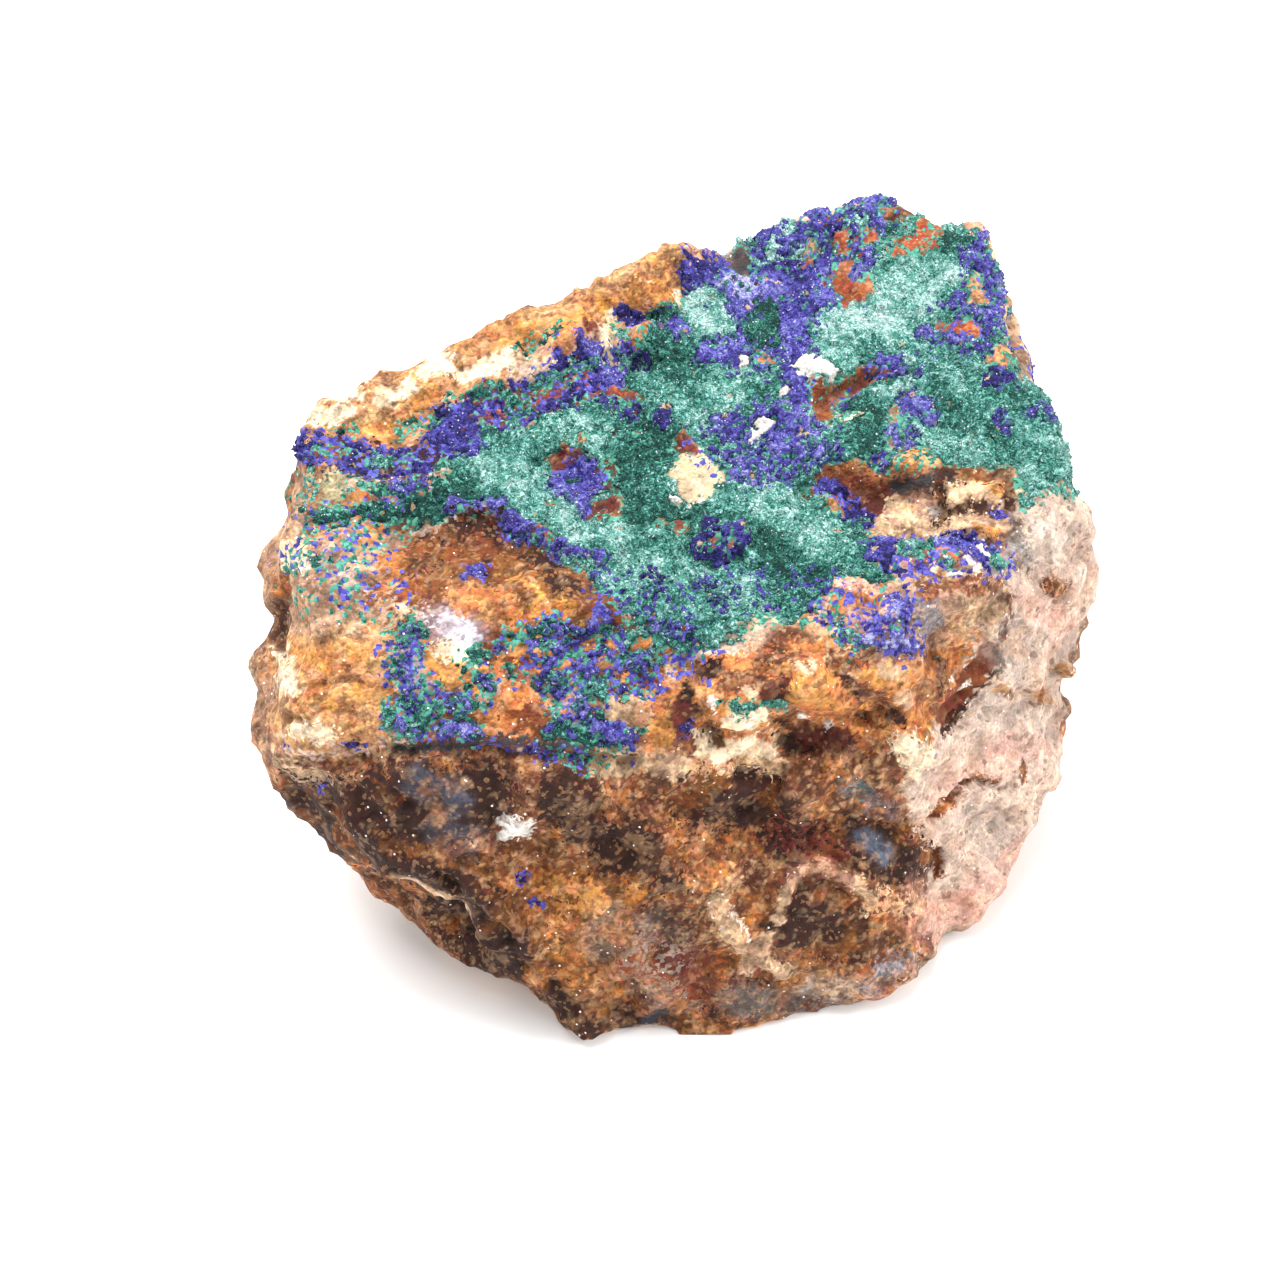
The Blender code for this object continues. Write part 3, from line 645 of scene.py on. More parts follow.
reliefMarks = {
    "ochre lump": (2.4, 3.2, (638, 296, 662, 302)),
    "ochre crest": (1.2, 1.8, (600, 290, 640, 275, 662, 262, 700, 262)),
    "crest knob": (1.6, 1.8, (664, 264, 680, 262)),
    "lump knobs": (0.9, 1.0, (652, 270), (672, 274), (640, 288), (660, 290), (668, 306), (650, 310)),
    "brown knob": (2.0, 2.2, (644, 338, 645, 348)),
    "small knobs": (1.1, 1.1, (616, 394), (630, 397), (572, 332, 582, 334), (608, 340, 606, 352)),
    "knob hollow": (-1.0, 1.6, (640, 366, 656, 362), (590, 378, 604, 386)),
    "back lump": (1.0, 1.8, (560, 342, 578, 334), (606, 350)),
    "beige patch": (-0.5, 2.6, (690, 480, 708, 482)),
    "violet pit": (-0.6, 2.6, (572, 474, 598, 492)),
    "pit rim": (0.5, 1.0, (552, 462, 562, 452, 600, 452, 616, 462)),
    "wedge ledge": (0.9, 1.4, (450, 506, 500, 510, 550, 534, 602, 562)),
    "wedge foot": (-0.7, 1.6, (456, 522, 500, 530, 550, 554, 590, 580)),
    "blue band": (0.8, 1.8, (378, 462, 420, 460, 452, 432)),
    "calcite": (0.8, 1.4, (808, 368, 822, 376)),
    "maroon hollow": (-0.9, 1.8, (816, 396, 836, 392, 872, 378)),
    "blue blob": (1.2, 2.0, (704, 544, 736, 538)),
    "blob foot": (-0.7, 1.4, (700, 558, 740, 554)),
    "rust wedge": (-0.6, 1.6, (840, 272, 856, 284)),
    "recess": (-1.3, 3.4, (850, 500, 930, 500)),
    "recess block": (1.0, 2.4, (956, 494, 1000, 492), (956, 530, 1000, 532)),
    "recess rim": (0.4, 1.4, (860, 468, 900, 464, 940, 470, 1010, 468)),
    "recess floor": (-0.6, 1.8, (940, 548, 1005, 545)),
    "step": (0.4, 1.8, (870, 560, 930, 552, 1000, 566)),
    "lower knobs": (1.2, 1.8, (612, 732, 622, 730), (540, 648, 556, 654), (640, 660), (600, 690),
                    (596, 624)),
    "undercut": (-1.2, 1.2, (396, 752, 470, 752, 560, 758, 630, 762)),
    "rim knobs": (1.1, 2.2, (740, 714, 760, 712), (806, 686, 820, 684), (872, 676, 886, 676),
                  (910, 742)),
    "rim hollow": (-1.2, 2.2, (690, 700, 712, 740), (780, 742, 840, 740)),
    "front white": (1.0, 1.8, (504, 834, 522, 826)),
    "front ledge": (1.4, 1.6, (450, 866, 486, 900, 520, 936)),
    "front ledge foot": (-1.4, 1.6, (446, 880, 480, 916, 512, 950)),
    "arch": (1.3, 1.3, (770, 900, 785, 876, 820, 868, 864, 880, 870, 897)),
    "arch hollow": (-1.2, 1.8, (800, 892, 840, 892)),
    "arch foot": (1.0, 1.3, (724, 900, 740, 950, 785, 969)),
    "gloss facet": (-0.8, 2.2, (986, 654, 950, 712)),
    "right crack": (-0.9, 0.6, (928, 815, 940, 800, 971, 783, 1003, 786)),
    "right cavity": (-1.3, 1.1, (934, 853, 938, 868)),
    "right seam": (-0.5, 0.7, (960, 700, 1000, 720, 1040, 700), (980, 830, 1020, 820, 1040, 790)),
    "right knobs": (1.0, 1.8, (1058, 586), (1070, 672), (1030, 620)),
    "left crevice": (-1.5, 1.1, (288, 580, 278, 610, 280, 650)),
    "left ledge": (0.8, 1.2, (268, 600, 258, 640, 262, 700)),
    "facet steps": (-0.7, 0.8, (300, 690, 350, 680, 390, 690), (290, 720, 330, 712, 370, 724)),
    "upper right notch": (-3.0, 5.0, (1030, 330, 1045, 360)),
    "right bulge": (-2.2, 7.0, (1090, 660, 1082, 720)),
}

paintEdges = {
    "regionEdge": 2.0,                  # half width of a region's soft edge, mm
    "markEdge": 0.5,                    # a mark's, to which a share of its own width is added
    "softShare": {"rock": 0.3, "crust": 0.2},
    "hiddenSoft": 0.35,                 # the same for the hidden sides, as a share of the width
    "grain": 0.75,                      # size of the grains that outlines and veins follow
    "warp": ((6.0, 0.6), (2.0, 0.4)),   # size and reach of the noise that bends outlines
    "ragged": ((2.4, 0.5), (0.9, 0.5)),     # size and share of the noise that frays them
    "fray": (0.6, 0.45),                # how far that noise and the grains fray them
    "hiddenFray": 1.5,                  # in mm, on the hidden sides
    "seen": (-0.12, 0.08),              # how a face has to look at the camera to be painted
    "dustThins": 0.7,                   # how far dust takes a crust away
    "underTint": 0.6,                   # how far a crust tints the rock below it
    "veinGrain": 0.12,                  # how far veins follow the grains
}

bareGround = {
    # where no mark reaches: the share of the first tint, how much it varies, a crust's tone
    "share": 0.8, "variety": 0.6, "tone": 0.45,
    # patches over the rose rock: size, seed, and where the noise starts and is whole
    "patches": {"tan": (14.0, 5, -0.3, 0.5), "umber": (9.0, 11, 0.05, 0.5)},
}


def photoPlaces(points, normals):
    # Each point's pixel in the photo, the mm per pixel there, and how it faces the camera
    right, up, ahead = (np.array(axis) for axis in viewAxes())
    away = points - np.array(photoView["place"])
    depth = away @ ahead
    scale = photoView["lens"] / photoView["sensor"] * photoView["pixels"]
    middle = photoView["pixels"] / 2
    pixels = np.stack((middle + scale * (away @ right) / depth,
                       middle - scale * (away @ up) / depth), axis=1)
    facing = -np.einsum("ij,ij->i", normals, away) / np.linalg.norm(away, axis=1)
    return pixels, depth / scale, facing


def warped(points, places, sizes, seed):
    bent = places.copy()
    for step, (size, reach) in enumerate(paintEdges["warp"]):
        for axis in range(places.shape[1]):
            noise = layeredNoise(points, size, 2, seed + step * 7 + axis)
            bent[:, axis] += noise * reach / sizes
    return bent


def fraying(points):
    # Noise from about -1 to 1 that frays every outline
    return sum(share * layeredNoise(points, size, 2, seeds["fray"])
               for size, share in paintEdges["ragged"])


def pathAway(places, path):
    # Distance from each place to a stroke through the path's points
    away = np.full(len(places), np.inf)
    if len(path) == 1:
        return np.linalg.norm(places - path[0], axis=1)
    for start, end in zip(path[:-1], path[1:]):
        line = end - start
        share = np.clip((places - start) @ line / max(line @ line, 1e-9), 0.0, 1.0)
        away = np.minimum(away, np.linalg.norm(places - start - share[:, None] * line, axis=1))
    return away


def insideOutline(places, outline):
    # Distance to the outline, above zero inside it
    closed = np.vstack((outline, outline[:1]))
    away = pathAway(places, closed)
    inside = np.zeros(len(places), dtype=bool)
    for start, end in zip(closed[:-1], closed[1:]):
        crosses = (start[1] > places[:, 1]) != (end[1] > places[:, 1])
        rise = end[1] - start[1] if end[1] != start[1] else 1e-9
        border = start[0] + (places[:, 1] - start[1]) * (end[0] - start[0]) / rise
        inside ^= crosses & (places[:, 0] < border)
    return np.where(inside, away, -away)


screenCurve = {"straightTo": 0.04045, "slope": 12.92, "shift": 0.055, "power": 2.4}


def linearTint(tint):
    # The light that a tint from 0 to 255 on the screen stands for
    share = np.array(tint) / 255
    shift = screenCurve["shift"]
    curved = ((share + shift) / (1.0 + shift)) ** screenCurve["power"]
    return np.where(share <= screenCurve["straightTo"], share / screenCurve["slope"], curved)


crustKinds = ("calcite", "azurite", "malachite")       # each lies over the later ones

underCrust = {                          # the rock's tint below each crust
    "calcite": (214, 190, 160), "azurite": (44, 36, 110), "malachite": (34, 88, 66),
}


def layPaint(state, mineral, cover, near, weight):
    # Paints some points with a mineral, by weights from 0 to 1
    kind, value, *variety = mineralTints[mineral]
    if kind == "dust":
        amount = (weight * cover)[:, None]
        for layer in ("stain", "other"):
            state[layer][near] += (linearTint(value) - state[layer][near]) * amount
        for crust in crustKinds:
            state[crust][near] *= 1.0 - paintEdges["dustThins"] * weight * cover
    elif kind == "rock":
        for crust in crustKinds:
            state[crust][near] *= 1.0 - weight * cover
        inside = (weight > 0.5)[:, None]
        old, colour = state["stain"][near], linearTint(value)
        state["other"][near] = np.where(inside, old, colour)
        state["stain"][near] = np.where(inside, colour, old)
        state["share"][near] = np.where(inside[:, 0], weight * cover, 1.0 - weight * cover)
        state["variety"][near] += (variety[0] - state["variety"][near]) * weight
    else:
        bare = np.ones(len(near))
        for crust in crustKinds:
            bare *= 1.0 - state[crust][near]
        for crust in crustKinds[:crustKinds.index(kind)]:
            state[crust][near] *= 1.0 - weight * cover
        whole = np.maximum(cover, 1.0 - bare) if kind == "malachite" else cover
        state[kind][near] += (whole - state[kind][near]) * weight
        tone = state[kind + "Tone"]
        tone[near] += (value - tone[near]) * weight
        reach = paintEdges["underTint"] * weight * cover ** 3
        state["stain"][near] += (linearTint(underCrust[kind]) - state["stain"][near]) * reach[:, None]


def bareState(points):
    # The paint before any region or mark: rose rock with tan and umber patches
    count = len(points)
    state = {"stain": np.tile(linearTint(mineralTints["rose"][1]), (count, 1)),
             "other": np.tile(linearTint(mineralTints["tan"][1]), (count, 1)),
             "share": np.full(count, bareGround["share"]),
             "variety": np.full(count, bareGround["variety"]),
             "grains": grainHomes(points, paintEdges["grain"], seeds["grains"])}
    for crust in crustKinds:
        state[crust] = np.zeros(count)
        state[crust + "Tone"] = np.full(count, bareGround["tone"])
    for name, (size, seed, low, high) in bareGround["patches"].items():
        patches = ramp(layeredNoise(points, size, 3, seed), low, high)[:, None]
        state["stain"] += (linearTint(mineralTints[name][1]) - state["stain"]) * patches
    return state


def paintHidden(state, points, frayed):
    bent = warped(points, points, np.ones(len(points)), seeds["hiddenWarp"])
    soft = paintEdges["hiddenSoft"]
    for mineral, cover, radius, *paths in hiddenMarks.values():
        for path in paths:
            path = np.reshape(path, (-1, 3)).astype(float)
            away = pathAway(bent, path) + frayed * paintEdges["hiddenFray"]
            near = np.flatnonzero(away < radius * (1.0 + soft))
            weight = 1.0 - ramp(away[near], radius * (1.0 - soft), radius * (1.0 + soft))
            layPaint(state, mineral, cover, near, weight)


def nearPath(bent, path, reach, seen):
    # Numbers of the seen points in the box around a path
    close = ((bent > path.min(axis=0) - reach) & (bent < path.max(axis=0) + reach)).all(axis=1)
    return np.flatnonzero(close & (seen > 0))


def paintSeen(state, points, normals, frayed):
    # What the photo shows: the regions, then the smaller marks over them
    pixels, size, facing = photoPlaces(points, normals)
    bent = warped(points, pixels, size, seeds["seenWarp"])
    seen = ramp(facing, *paintEdges["seen"])
    edge = paintEdges["regionEdge"]
    for mineral, cover, outline in regions.values():
        outline = np.reshape(outline, (-1, 2)).astype(float)
        inside = insideOutline(bent, outline) * size + frayed * edge
        near = np.flatnonzero((inside > -edge) & (seen > 0))
        layPaint(state, mineral, cover, near, ramp(inside[near], -edge, edge) * seen[near])
    for mineral, cover, radius, *paths in marks.values():
        soft = paintEdges["softShare"]["rock" if mineralTints[mineral][0] == "rock" else "crust"]
        edge = paintEdges["markEdge"] + soft * radius
        for path in paths:
            path = np.reshape(path, (-1, 2)).astype(float)
            near = nearPath(bent, path, (radius + edge) / size.min(), seen)
            away = pathAway(bent[near], path) * size[near] + frayed[near] * edge
            weight = (1.0 - ramp(away, radius - edge, radius + edge)) * seen[near]
            layPaint(state, mineral, cover, near, weight)


def paintVeins(state, points):
    grained = state["grains"] * paintEdges["grain"]
    for step, (size, low, high, colour, strength) in enumerate(rockVeins.values()):
        own = cellValues(state["grains"], seeds["veinGrains"] + step)
        noise = layeredNoise(grained, size, 3, seeds["veins"] + step * 9)
        noise += paintEdges["veinGrain"] * own
        amount = strength * state["variety"] * ramp(noise, low, high)
        state["stain"] += (linearTint(colour) - state["stain"]) * amount[:, None]


def paintMinerals(points, normals):
    # Cover and tone of each crust, and the bare rock's tint, at each point
    state = bareState(points)
    byNoise, byGrain = paintEdges["fray"]
    frayed = byNoise * fraying(points) + byGrain * cellValues(state["grains"], seeds["grainFray"])
    paintHidden(state, points, frayed)
    paintSeen(state, points, normals, frayed)
    paintVeins(state, points)
    return state


speckle = {
    # size of the crust's patches, seed, and how far they follow the grains
    "calcite": (1.1, 301, 0.5), "azurite": (1.7, 401, 0.75), "malachite": (1.5, 501, 0.5),
    "finer": 0.36,                      # size of the finer patches within them, as a share
    "gains": (1.6, 1.7),                # of the patches and of the grains
    "slope": 1.75,                      # makes a cover the share of points that a crust takes
    "solidFrom": (0.1, 0.5),            # below this cover a crust is only flecks on the rock
    "reach": (1.06, 0.03),              # a whole cover leaves no gap, and none leaves no speck
}


def crustFields(points, state):
    # How far each point is inside each crust: above zero where the crust shows
    fields = {}
    for crust in crustKinds:
        size, seed, grained = speckle[crust]
        noise = layeredNoise(points, size, 2, seed)
        noise += layeredNoise(points, size * speckle["finer"], 2, seed + 50)
        own = cellValues(state["grains"], seed)
        mixed = (1.0 - grained) * speckle["gains"][0] * noise + grained * speckle["gains"][1] * own
        mixed /= math.hypot(1.0 - grained, grained)
        share = 1.0 / (1.0 + np.exp(-speckle["slope"] * mixed))
        cover = state[crust] * ramp(state[crust], *speckle["solidFrom"])
        fields[crust] = cover * speckle["reach"][0] - speckle["reach"][1] - share
    return fields


rockShape = {
    "chips": ((6.8, 0.2, 3), (3.2, 0.26, 23), (1.5, 0.22, 43)),        # size, lean and seed
    "swell": (7.0, 0.3),
    "grit": (0.9, 0.09),
    "seen": (-0.5, -0.1),               # how a face has to look at the camera to have the photo's relief
    "round": 1.5,                       # how round a knob's side is
    "restingEdge": 2.5,                 # height over which the base's flatness fades out
}


def rockHeights(points, normals):
    # How far the bare rock's surface moves outwards
    heights = np.zeros(len(points))
    for size, lean, seed in rockShape["chips"]:
        heights += chips(points, size, lean, seed)
    size, height = rockShape["swell"]
    heights += height * layeredNoise(points, size, 2, seeds["swell"])
    size, height = rockShape["grit"]
    heights += height * layeredNoise(points, size, 2, seeds["grit"])
    pixels, scale, facing = photoPlaces(points, normals)
    seen = ramp(facing, *rockShape["seen"])
    bent = warped(points, pixels, scale, seeds["seenWarp"])
    for height, radius, *paths in reliefMarks.values():
        for path in paths:
            path = np.reshape(path, (-1, 2)).astype(float)
            near = nearPath(bent, path, radius / scale.min(), seen)
            away = pathAway(bent[near], path) * scale[near] / radius
            share = np.clip(1.0 - away ** 2, 0.0, 1.0)
            heights[near] += height * share ** rockShape["round"] * seen[near]
    return heights * ramp(points[:, 2], 0.0, rockShape["restingEdge"])


def storeState(mesh, state, kept=slice(None)):
    # What the shaders read of the paint: tints of the rock, and each crust's share
    storeColour(mesh, "stain", state["stain"][kept])
    storeColour(mesh, "other", state["other"][kept])
    storeNumber(mesh, "share", state["share"][kept])
    storeNumber(mesh, "variety", state["variety"][kept])
    storeNumber(mesh, "blue", state["azurite"][kept])
    storeNumber(mesh, "green", state["malachite"][kept])


# The rock's even surface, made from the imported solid

rockBody = {
    "merge": 0.002,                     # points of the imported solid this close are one
    "step": 1.25,                       # spacing of the surface's points
    "soften": (3, 0.5),                 # rounds and strength of smoothing over the solid's flat faces
    "seenCuts": 2,                      # finer faces where the rock shows
    "finer": 7900,                      # how many of the even faces are cut so
    "facing": (-0.5, 0.4),              # they are chosen by how they look at the camera, within this,
    "bareCounts": 0.6,                  # and by this much for rock without a crust,
    "bareFrom": 0.5,                    # which counts in full from this bareness on
    "underCrust": 0.35,                 # how far the rock sinks below a whole crust
    "wholeFrom": 0.3,                   # where a crust is whole
    # painted shade: the rock's colour is darkened in its hollows
    "hollowFrom": 1.2,                  # a hollow this deep has its full shade
}


def evenRock():
    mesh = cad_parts["azurite_specimen"].data.copy()
    merged = bmesh.new()
    merged.from_mesh(mesh)
    bmesh.ops.remove_doubles(merged, verts=merged.verts[:], dist=rockBody["merge"] * mm)
    merged.to_mesh(mesh)
    merged.free()
    helper = addObject("even_rock", mesh)
    remesh = helper.modifiers.new("even faces", "REMESH")
    remesh.mode = "VOXEL"
    remesh.voxel_size = rockBody["step"] * mm
    soften = helper.modifiers.new("soften", "SMOOTH")
    soften.iterations, soften.factor = rockBody["soften"]
    graph = bpy.context.evaluated_depsgraph_get()
    even = bpy.data.meshes.new_from_object(helper.evaluated_get(graph))
    bpy.data.objects.remove(helper, do_unlink=True)
    return even


def finerFaces(mesh, wanted, cuts):
    # The mesh with its wanted faces cut into smaller ones
    cut = bmesh.new()
    cut.from_mesh(mesh)
    cut.faces.ensure_lookup_table()
    faces = [cut.faces[index] for index in np.flatnonzero(wanted)]
    edges = list({edge for face in faces for edge in face.edges})
    bmesh.ops.subdivide_edges(cut, edges=edges, cuts=cuts, use_grid_fill=True)
    finer = bpy.data.meshes.new("finer")
    cut.to_mesh(finer)
    cut.free()
    return finer


def faceMeans(mesh, values):
    # Each face's mean of a value that the points hold
    loops = np.empty(len(mesh.loops), dtype=np.int64)
    mesh.loops.foreach_get("vertex_index", loops)
    starts = np.empty(len(mesh.polygons), dtype=np.int64)
    mesh.polygons.foreach_get("loop_start", starts)
    sizes = np.empty(len(mesh.polygons), dtype=np.int64)
    mesh.polygons.foreach_get("loop_total", sizes)
    return np.add.reduceat(values[loops], starts) / sizes


def buildRock(even, evenState):
    points, normals = pointsOf(even), normalsOf(even)
    facing = photoPlaces(points, normals)[2]
    bare = np.prod([1.0 - evenState[crust] for crust in crustKinds], axis=0)
    need = np.clip(facing, *rockBody["facing"])
    need = faceMeans(even, need + rockBody["bareCounts"] * ramp(bare, 0.0, rockBody["bareFrom"]))
    limit = np.sort(need)[-rockBody["finer"]]
    mesh = finerFaces(even, need >= limit, rockBody["seenCuts"])
    points, normals = pointsOf(mesh), normalsOf(mesh)
    state = paintMinerals(points, normals)
    heights = rockHeights(points, normals)
    fields = crustFields(points, state)
    covered = ramp(np.maximum.reduce(list(fields.values())), 0.0, rockBody["wholeFrom"])
    heights -= rockBody["underCrust"] * covered
    moved = points + normals * heights[:, None]
    moved[:, 2] = np.maximum(moved[:, 2], 0.0)
    movePoints(mesh, moved)
    smoothShade(mesh)
    storeState(mesh, state)
    # hollow: painted shade, darker where the surface sinks
    storeNumber(mesh, "hollow", ramp(-heights, 0.0, rockBody["hollowFrom"]))
    mesh.name = "matrix_rock"
    return mesh


# The crusts: thin closed layers that grow on the rock

crustShape = {
    # rise over the rock, cuts of the rock's faces, lumps as (size, height), chips as
    # (size, lean), and how far the tone changes by grain and by patch (size, change)
    "malachite": {"rise": 0.25, "cuts": 4, "lumps": ((1.9, 0.36), (0.75, 0.26)), "chips": (0.9, 0.1),
                  "grainTone": 0.1, "broadTone": (5.0, 0.22)},
    "azurite": {"rise": 0.32, "cuts": 4, "lumps": ((2.2, 0.2), (0.6, 0.08)), "chips": (1.1, 0.22),
                "grainTone": 0.16, "broadTone": (4.0, 0.2)},
    "calcite": {"rise": 0.12, "cuts": 4, "lumps": ((1.5, 0.08), (0.5, 0.05)), "chips": (1.2, 0.12),
                "grainTone": 0.1, "broadTone": (4.0, 0.1)},
}

crustBorder = {
    "leastCover": 0.03,                 # with less a face has none of the crust
    "overlap": 0.2,                     # how far a crust runs on under the one above it
    "fullBelow": 0.25,                  # where the crust below has its full rise,
    "liftBelow": 0.8,                   # and how much of that lifts this one
    "fullRise": 0.28,                   # where the crust itself has its full rise
    "edgeLumps": 0.35,                  # its lumps at the border, as a share
    "sink": 0.3,                        # how far its border goes into the rock, mm,
    "sinkShare": 0.3,                   # and as a share of its rise
    "smallest": 10,                     # islands with fewer faces are left out
    "depth": 0.92,                      # where its underside ends, as a share towards the rock's middle
    "middle": (0.0, 0.0, 26.0),
    # the gaps' darkening is partly their own darker tone and partly painted shade
    "deepest": 4.0,                     # a gap this many lumps deep has its full shade
}


def dropSmallIslands(crust):
    waiting = set(crust.faces)
    small = []
    while waiting:
        island = [waiting.pop()]
        for face in island:
            for edge in face.edges:
                for other in edge.link_faces:
                    if other in waiting:
                        waiting.discard(other)
                        island.append(other)
        if len(island) < crustBorder["smallest"]:
            small.extend(island)
    bmesh.ops.delete(crust, geom=small, context="FACES")


def openPinches(crust):
    # Removes faces that touch others only at a corner
    while True:
        pinched = [point for point in crust.verts
                   if sum(edge.is_boundary for edge in point.link_edges) > 2]
        if not pinched:
            return
        faces = list({face for point in pinched for face in point.link_faces})
        bmesh.ops.delete(crust, geom=faces, context="FACES")


def closeUnderside(crust):
    # Walls down into the rock from every border, and a floor for each
    middle = Vector(crustBorder["middle"]) * mm
    border = [edge for edge in crust.edges if edge.is_boundary]
    # made one by one, because an extrusion's walls come in another order in each run
    lower = {}
    for point in [point for point in crust.verts if point.is_boundary]:
        place = middle + (point.co - middle) * crustBorder["depth"]
        lower[point] = crust.verts.new(place, point)
    rims = [crust.edges.new([lower[point] for point in edge.verts]) for edge in border]
    for edge in border:
        first, last = edge.verts
        crust.faces.new((first, last, lower[last], lower[first]))
    floors = bmesh.ops.holes_fill(crust, edges=rims, sides=0)["faces"]
    wide = [face for face in floors if len(face.verts) > 4]
    bmesh.ops.poke(crust, faces=wide, center_mode="MEAN")
    bmesh.ops.recalc_face_normals(crust, faces=crust.faces[:])


def crustFaces(kind, even, evenState):
    # The even faces that the crust reaches, cut into finer ones
    least = crustBorder["leastCover"]
    reach = faceMeans(even, (evenState[kind] > least).astype(float)) > 0
    part = bmesh.new()
    part.from_mesh(even)
    part.faces.ensure_lookup_table()
    others = [part.faces[index] for index in np.flatnonzero(~reach)]
    bmesh.ops.delete(part, geom=others, context="FACES")
    coarse = bpy.data.meshes.new(kind)
    part.to_mesh(coarse)
    part.free()
    return finerFaces(coarse, np.ones(len(coarse.polygons), dtype=bool), crustShape[kind]["cuts"])


def crustHeights(kind, points, normals, fields, field):
    # How far the crust stands out, its lumps alone, and how fully it has grown
    shape = crustShape[kind]
    below = np.zeros(len(points))
    for under in crustKinds[crustKinds.index(kind) + 1:]:
        full = ramp(fields[under], 0.0, crustBorder["fullBelow"])
        below = np.maximum(below, crustShape[under]["rise"] * full)
    grown = ramp(field, 0.0, crustBorder["fullRise"])
    lumps = sum(height * layeredNoise(points, size, 2, seeds["lumps"] + step)
                for step, (size, height) in enumerate(shape["lumps"]))
    lumps += chips(points, *shape["chips"], seeds["crustChips"])
    heights = rockHeights(points, normals)
    heights += below * crustBorder["liftBelow"] + shape["rise"] * grown
    least = crustBorder["edgeLumps"]
    heights += lumps * (least + (1.0 - least) * grown)
    return heights * ramp(points[:, 2], 0.0, rockShape["restingEdge"]), lumps, grown


def trimCrust(mesh, bare):
    # The mesh without its bare faces; each point keeps its number
    crust = bmesh.new()
    crust.from_mesh(mesh)
    crust.faces.ensure_lookup_table()
    number = crust.verts.layers.int.new("number")
    for index, point in enumerate(crust.verts):
        point[number] = index
    faces = [crust.faces[index] for index in np.flatnonzero(bare)]
    bmesh.ops.delete(crust, geom=faces, context="FACES")
    openPinches(crust)
    dropSmallIslands(crust)
    loose = [point for point in crust.verts if not point.link_faces]
    bmesh.ops.delete(crust, geom=loose, context="VERTS")
    return crust, number


def buildCrust(kind, even, evenState):
    shape = crustShape[kind]
    mesh = crustFaces(kind, even, evenState)
    points, normals = pointsOf(mesh), normalsOf(mesh)
    state = paintMinerals(points, normals)
    fields = crustFields(points, state)
    field = fields[kind]
    for above in crustKinds[:crustKinds.index(kind)]:
        field = np.minimum(field, crustBorder["overlap"] - fields[above])
    heights, lumps, grown = crustHeights(kind, points, normals, fields, field)

    crust, number = trimCrust(mesh, faceMeans(mesh, field) < 0.0)
    border = {point[number] for edge in crust.edges if edge.is_boundary for point in edge.verts}
    heights[list(border)] -= crustBorder["sink"] + shape["rise"] * crustBorder["sinkShare"]
    moved = points + normals * heights[:, None]
    moved[:, 2] = np.maximum(moved[:, 2], 0.0)
    for point in crust.verts:
        point.co = moved[point[number]] * mm
    closeUnderside(crust)
    shell = bpy.data.meshes.new(kind + "_crust")
    crust.to_mesh(shell)
    crust.free()
    kept = np.empty(len(shell.vertices), dtype=np.int32)
    shell.attributes["number"].data.foreach_get("value", kept)
    kept = np.clip(kept, 0, len(points) - 1)            # the floors' middles have no number
    shell.attributes.remove(shell.attributes["number"])
    storeState(shell, state, kept)
    size, change = shape["broadTone"]
    tone = state[kind + "Tone"] + change * layeredNoise(points, size, 3, seeds["broadTone"])
    tone += shape["grainTone"] * cellValues(state["grains"], seeds["grainTone"])
    deepest = crustBorder["deepest"] * shape["lumps"][0][1]
    storeNumber(shell, "tone", np.clip(tone, 0.0, 1.0)[kept])
    storeNumber(shell, "edge", grown[kept])
    # hollow: darker in the gaps between lumps, partly their own darker tone and partly painted shade
    storeNumber(shell, "hollow", np.clip(0.5 - lumps[kept] / deepest, 0.0, 1.0))
    smoothShade(shell)
    return shell


# Grains that are scattered over a surface, as one joined mesh

grainShapes = {
    # each about one unit long
    "needle": {"foot": 0.2, "waist": 0.05, "swell": 1.5, "bend": -0.14},
    "crystal": {"foot": 0.42, "top": 0.2, "length": 0.9, "flat": 0.62},
    "crumb": {"radius": 0.5, "least": 0.85, "uneven": 0.3, "waves": (37.0, 19.0)},
}


def shapeNeedle(grain, foot, waist, swell, bend):
    bmesh.ops.create_cone(grain, cap_ends=True, segments=3, radius1=foot, radius2=0.0, depth=1.0)
    bmesh.ops.bisect_plane(grain, geom=grain.verts[:] + grain.edges[:] + grain.faces[:],
                           plane_co=(0, 0, waist), plane_no=(0, 0, 1))
    ring = [point for point in grain.verts if abs(point.co.z - waist) < 0.01]
    bmesh.ops.scale(grain, verts=ring, vec=(swell, swell, 1.0))
    bmesh.ops.translate(grain, verts=ring, vec=(bend, 0.0, 0.0))


def shapeCrystal(grain, foot, top, length, flat):
    bmesh.ops.create_cone(grain, cap_ends=True, segments=4, radius1=foot, radius2=top, depth=length)
    bmesh.ops.scale(grain, verts=grain.verts, vec=(1.0, flat, 1.0))


def shapeCrumb(grain, radius, least, uneven, waves):
    bmesh.ops.create_icosphere(grain, subdivisions=1, radius=radius)
    for point in grain.verts:
        point.co *= least + uneven * abs(math.sin(waves[0] * point.co.x + waves[1] * point.co.z))


def grainPoints(shape):
    # A grain's points and triangles, one unit long along +Z
    grain = bmesh.new()
    shaped = {"needle": shapeNeedle, "crystal": shapeCrystal, "crumb": shapeCrumb}[shape]
    shaped(grain, **grainShapes[shape])
    bmesh.ops.triangulate(grain, faces=grain.faces[:])
    bmesh.ops.recalc_face_normals(grain, faces=grain.faces[:])
    shell = bpy.data.meshes.new(shape)
    grain.to_mesh(shell)
    grain.free()
    flat = np.empty(len(shell.vertices) * 3)
    shell.vertices.foreach_get("co", flat)
    loops = np.empty(len(shell.loops), dtype=np.int64)
    shell.loops.foreach_get("vertex_index", loops)
    return flat.reshape(-1, 3), loops.reshape(-1, 3)


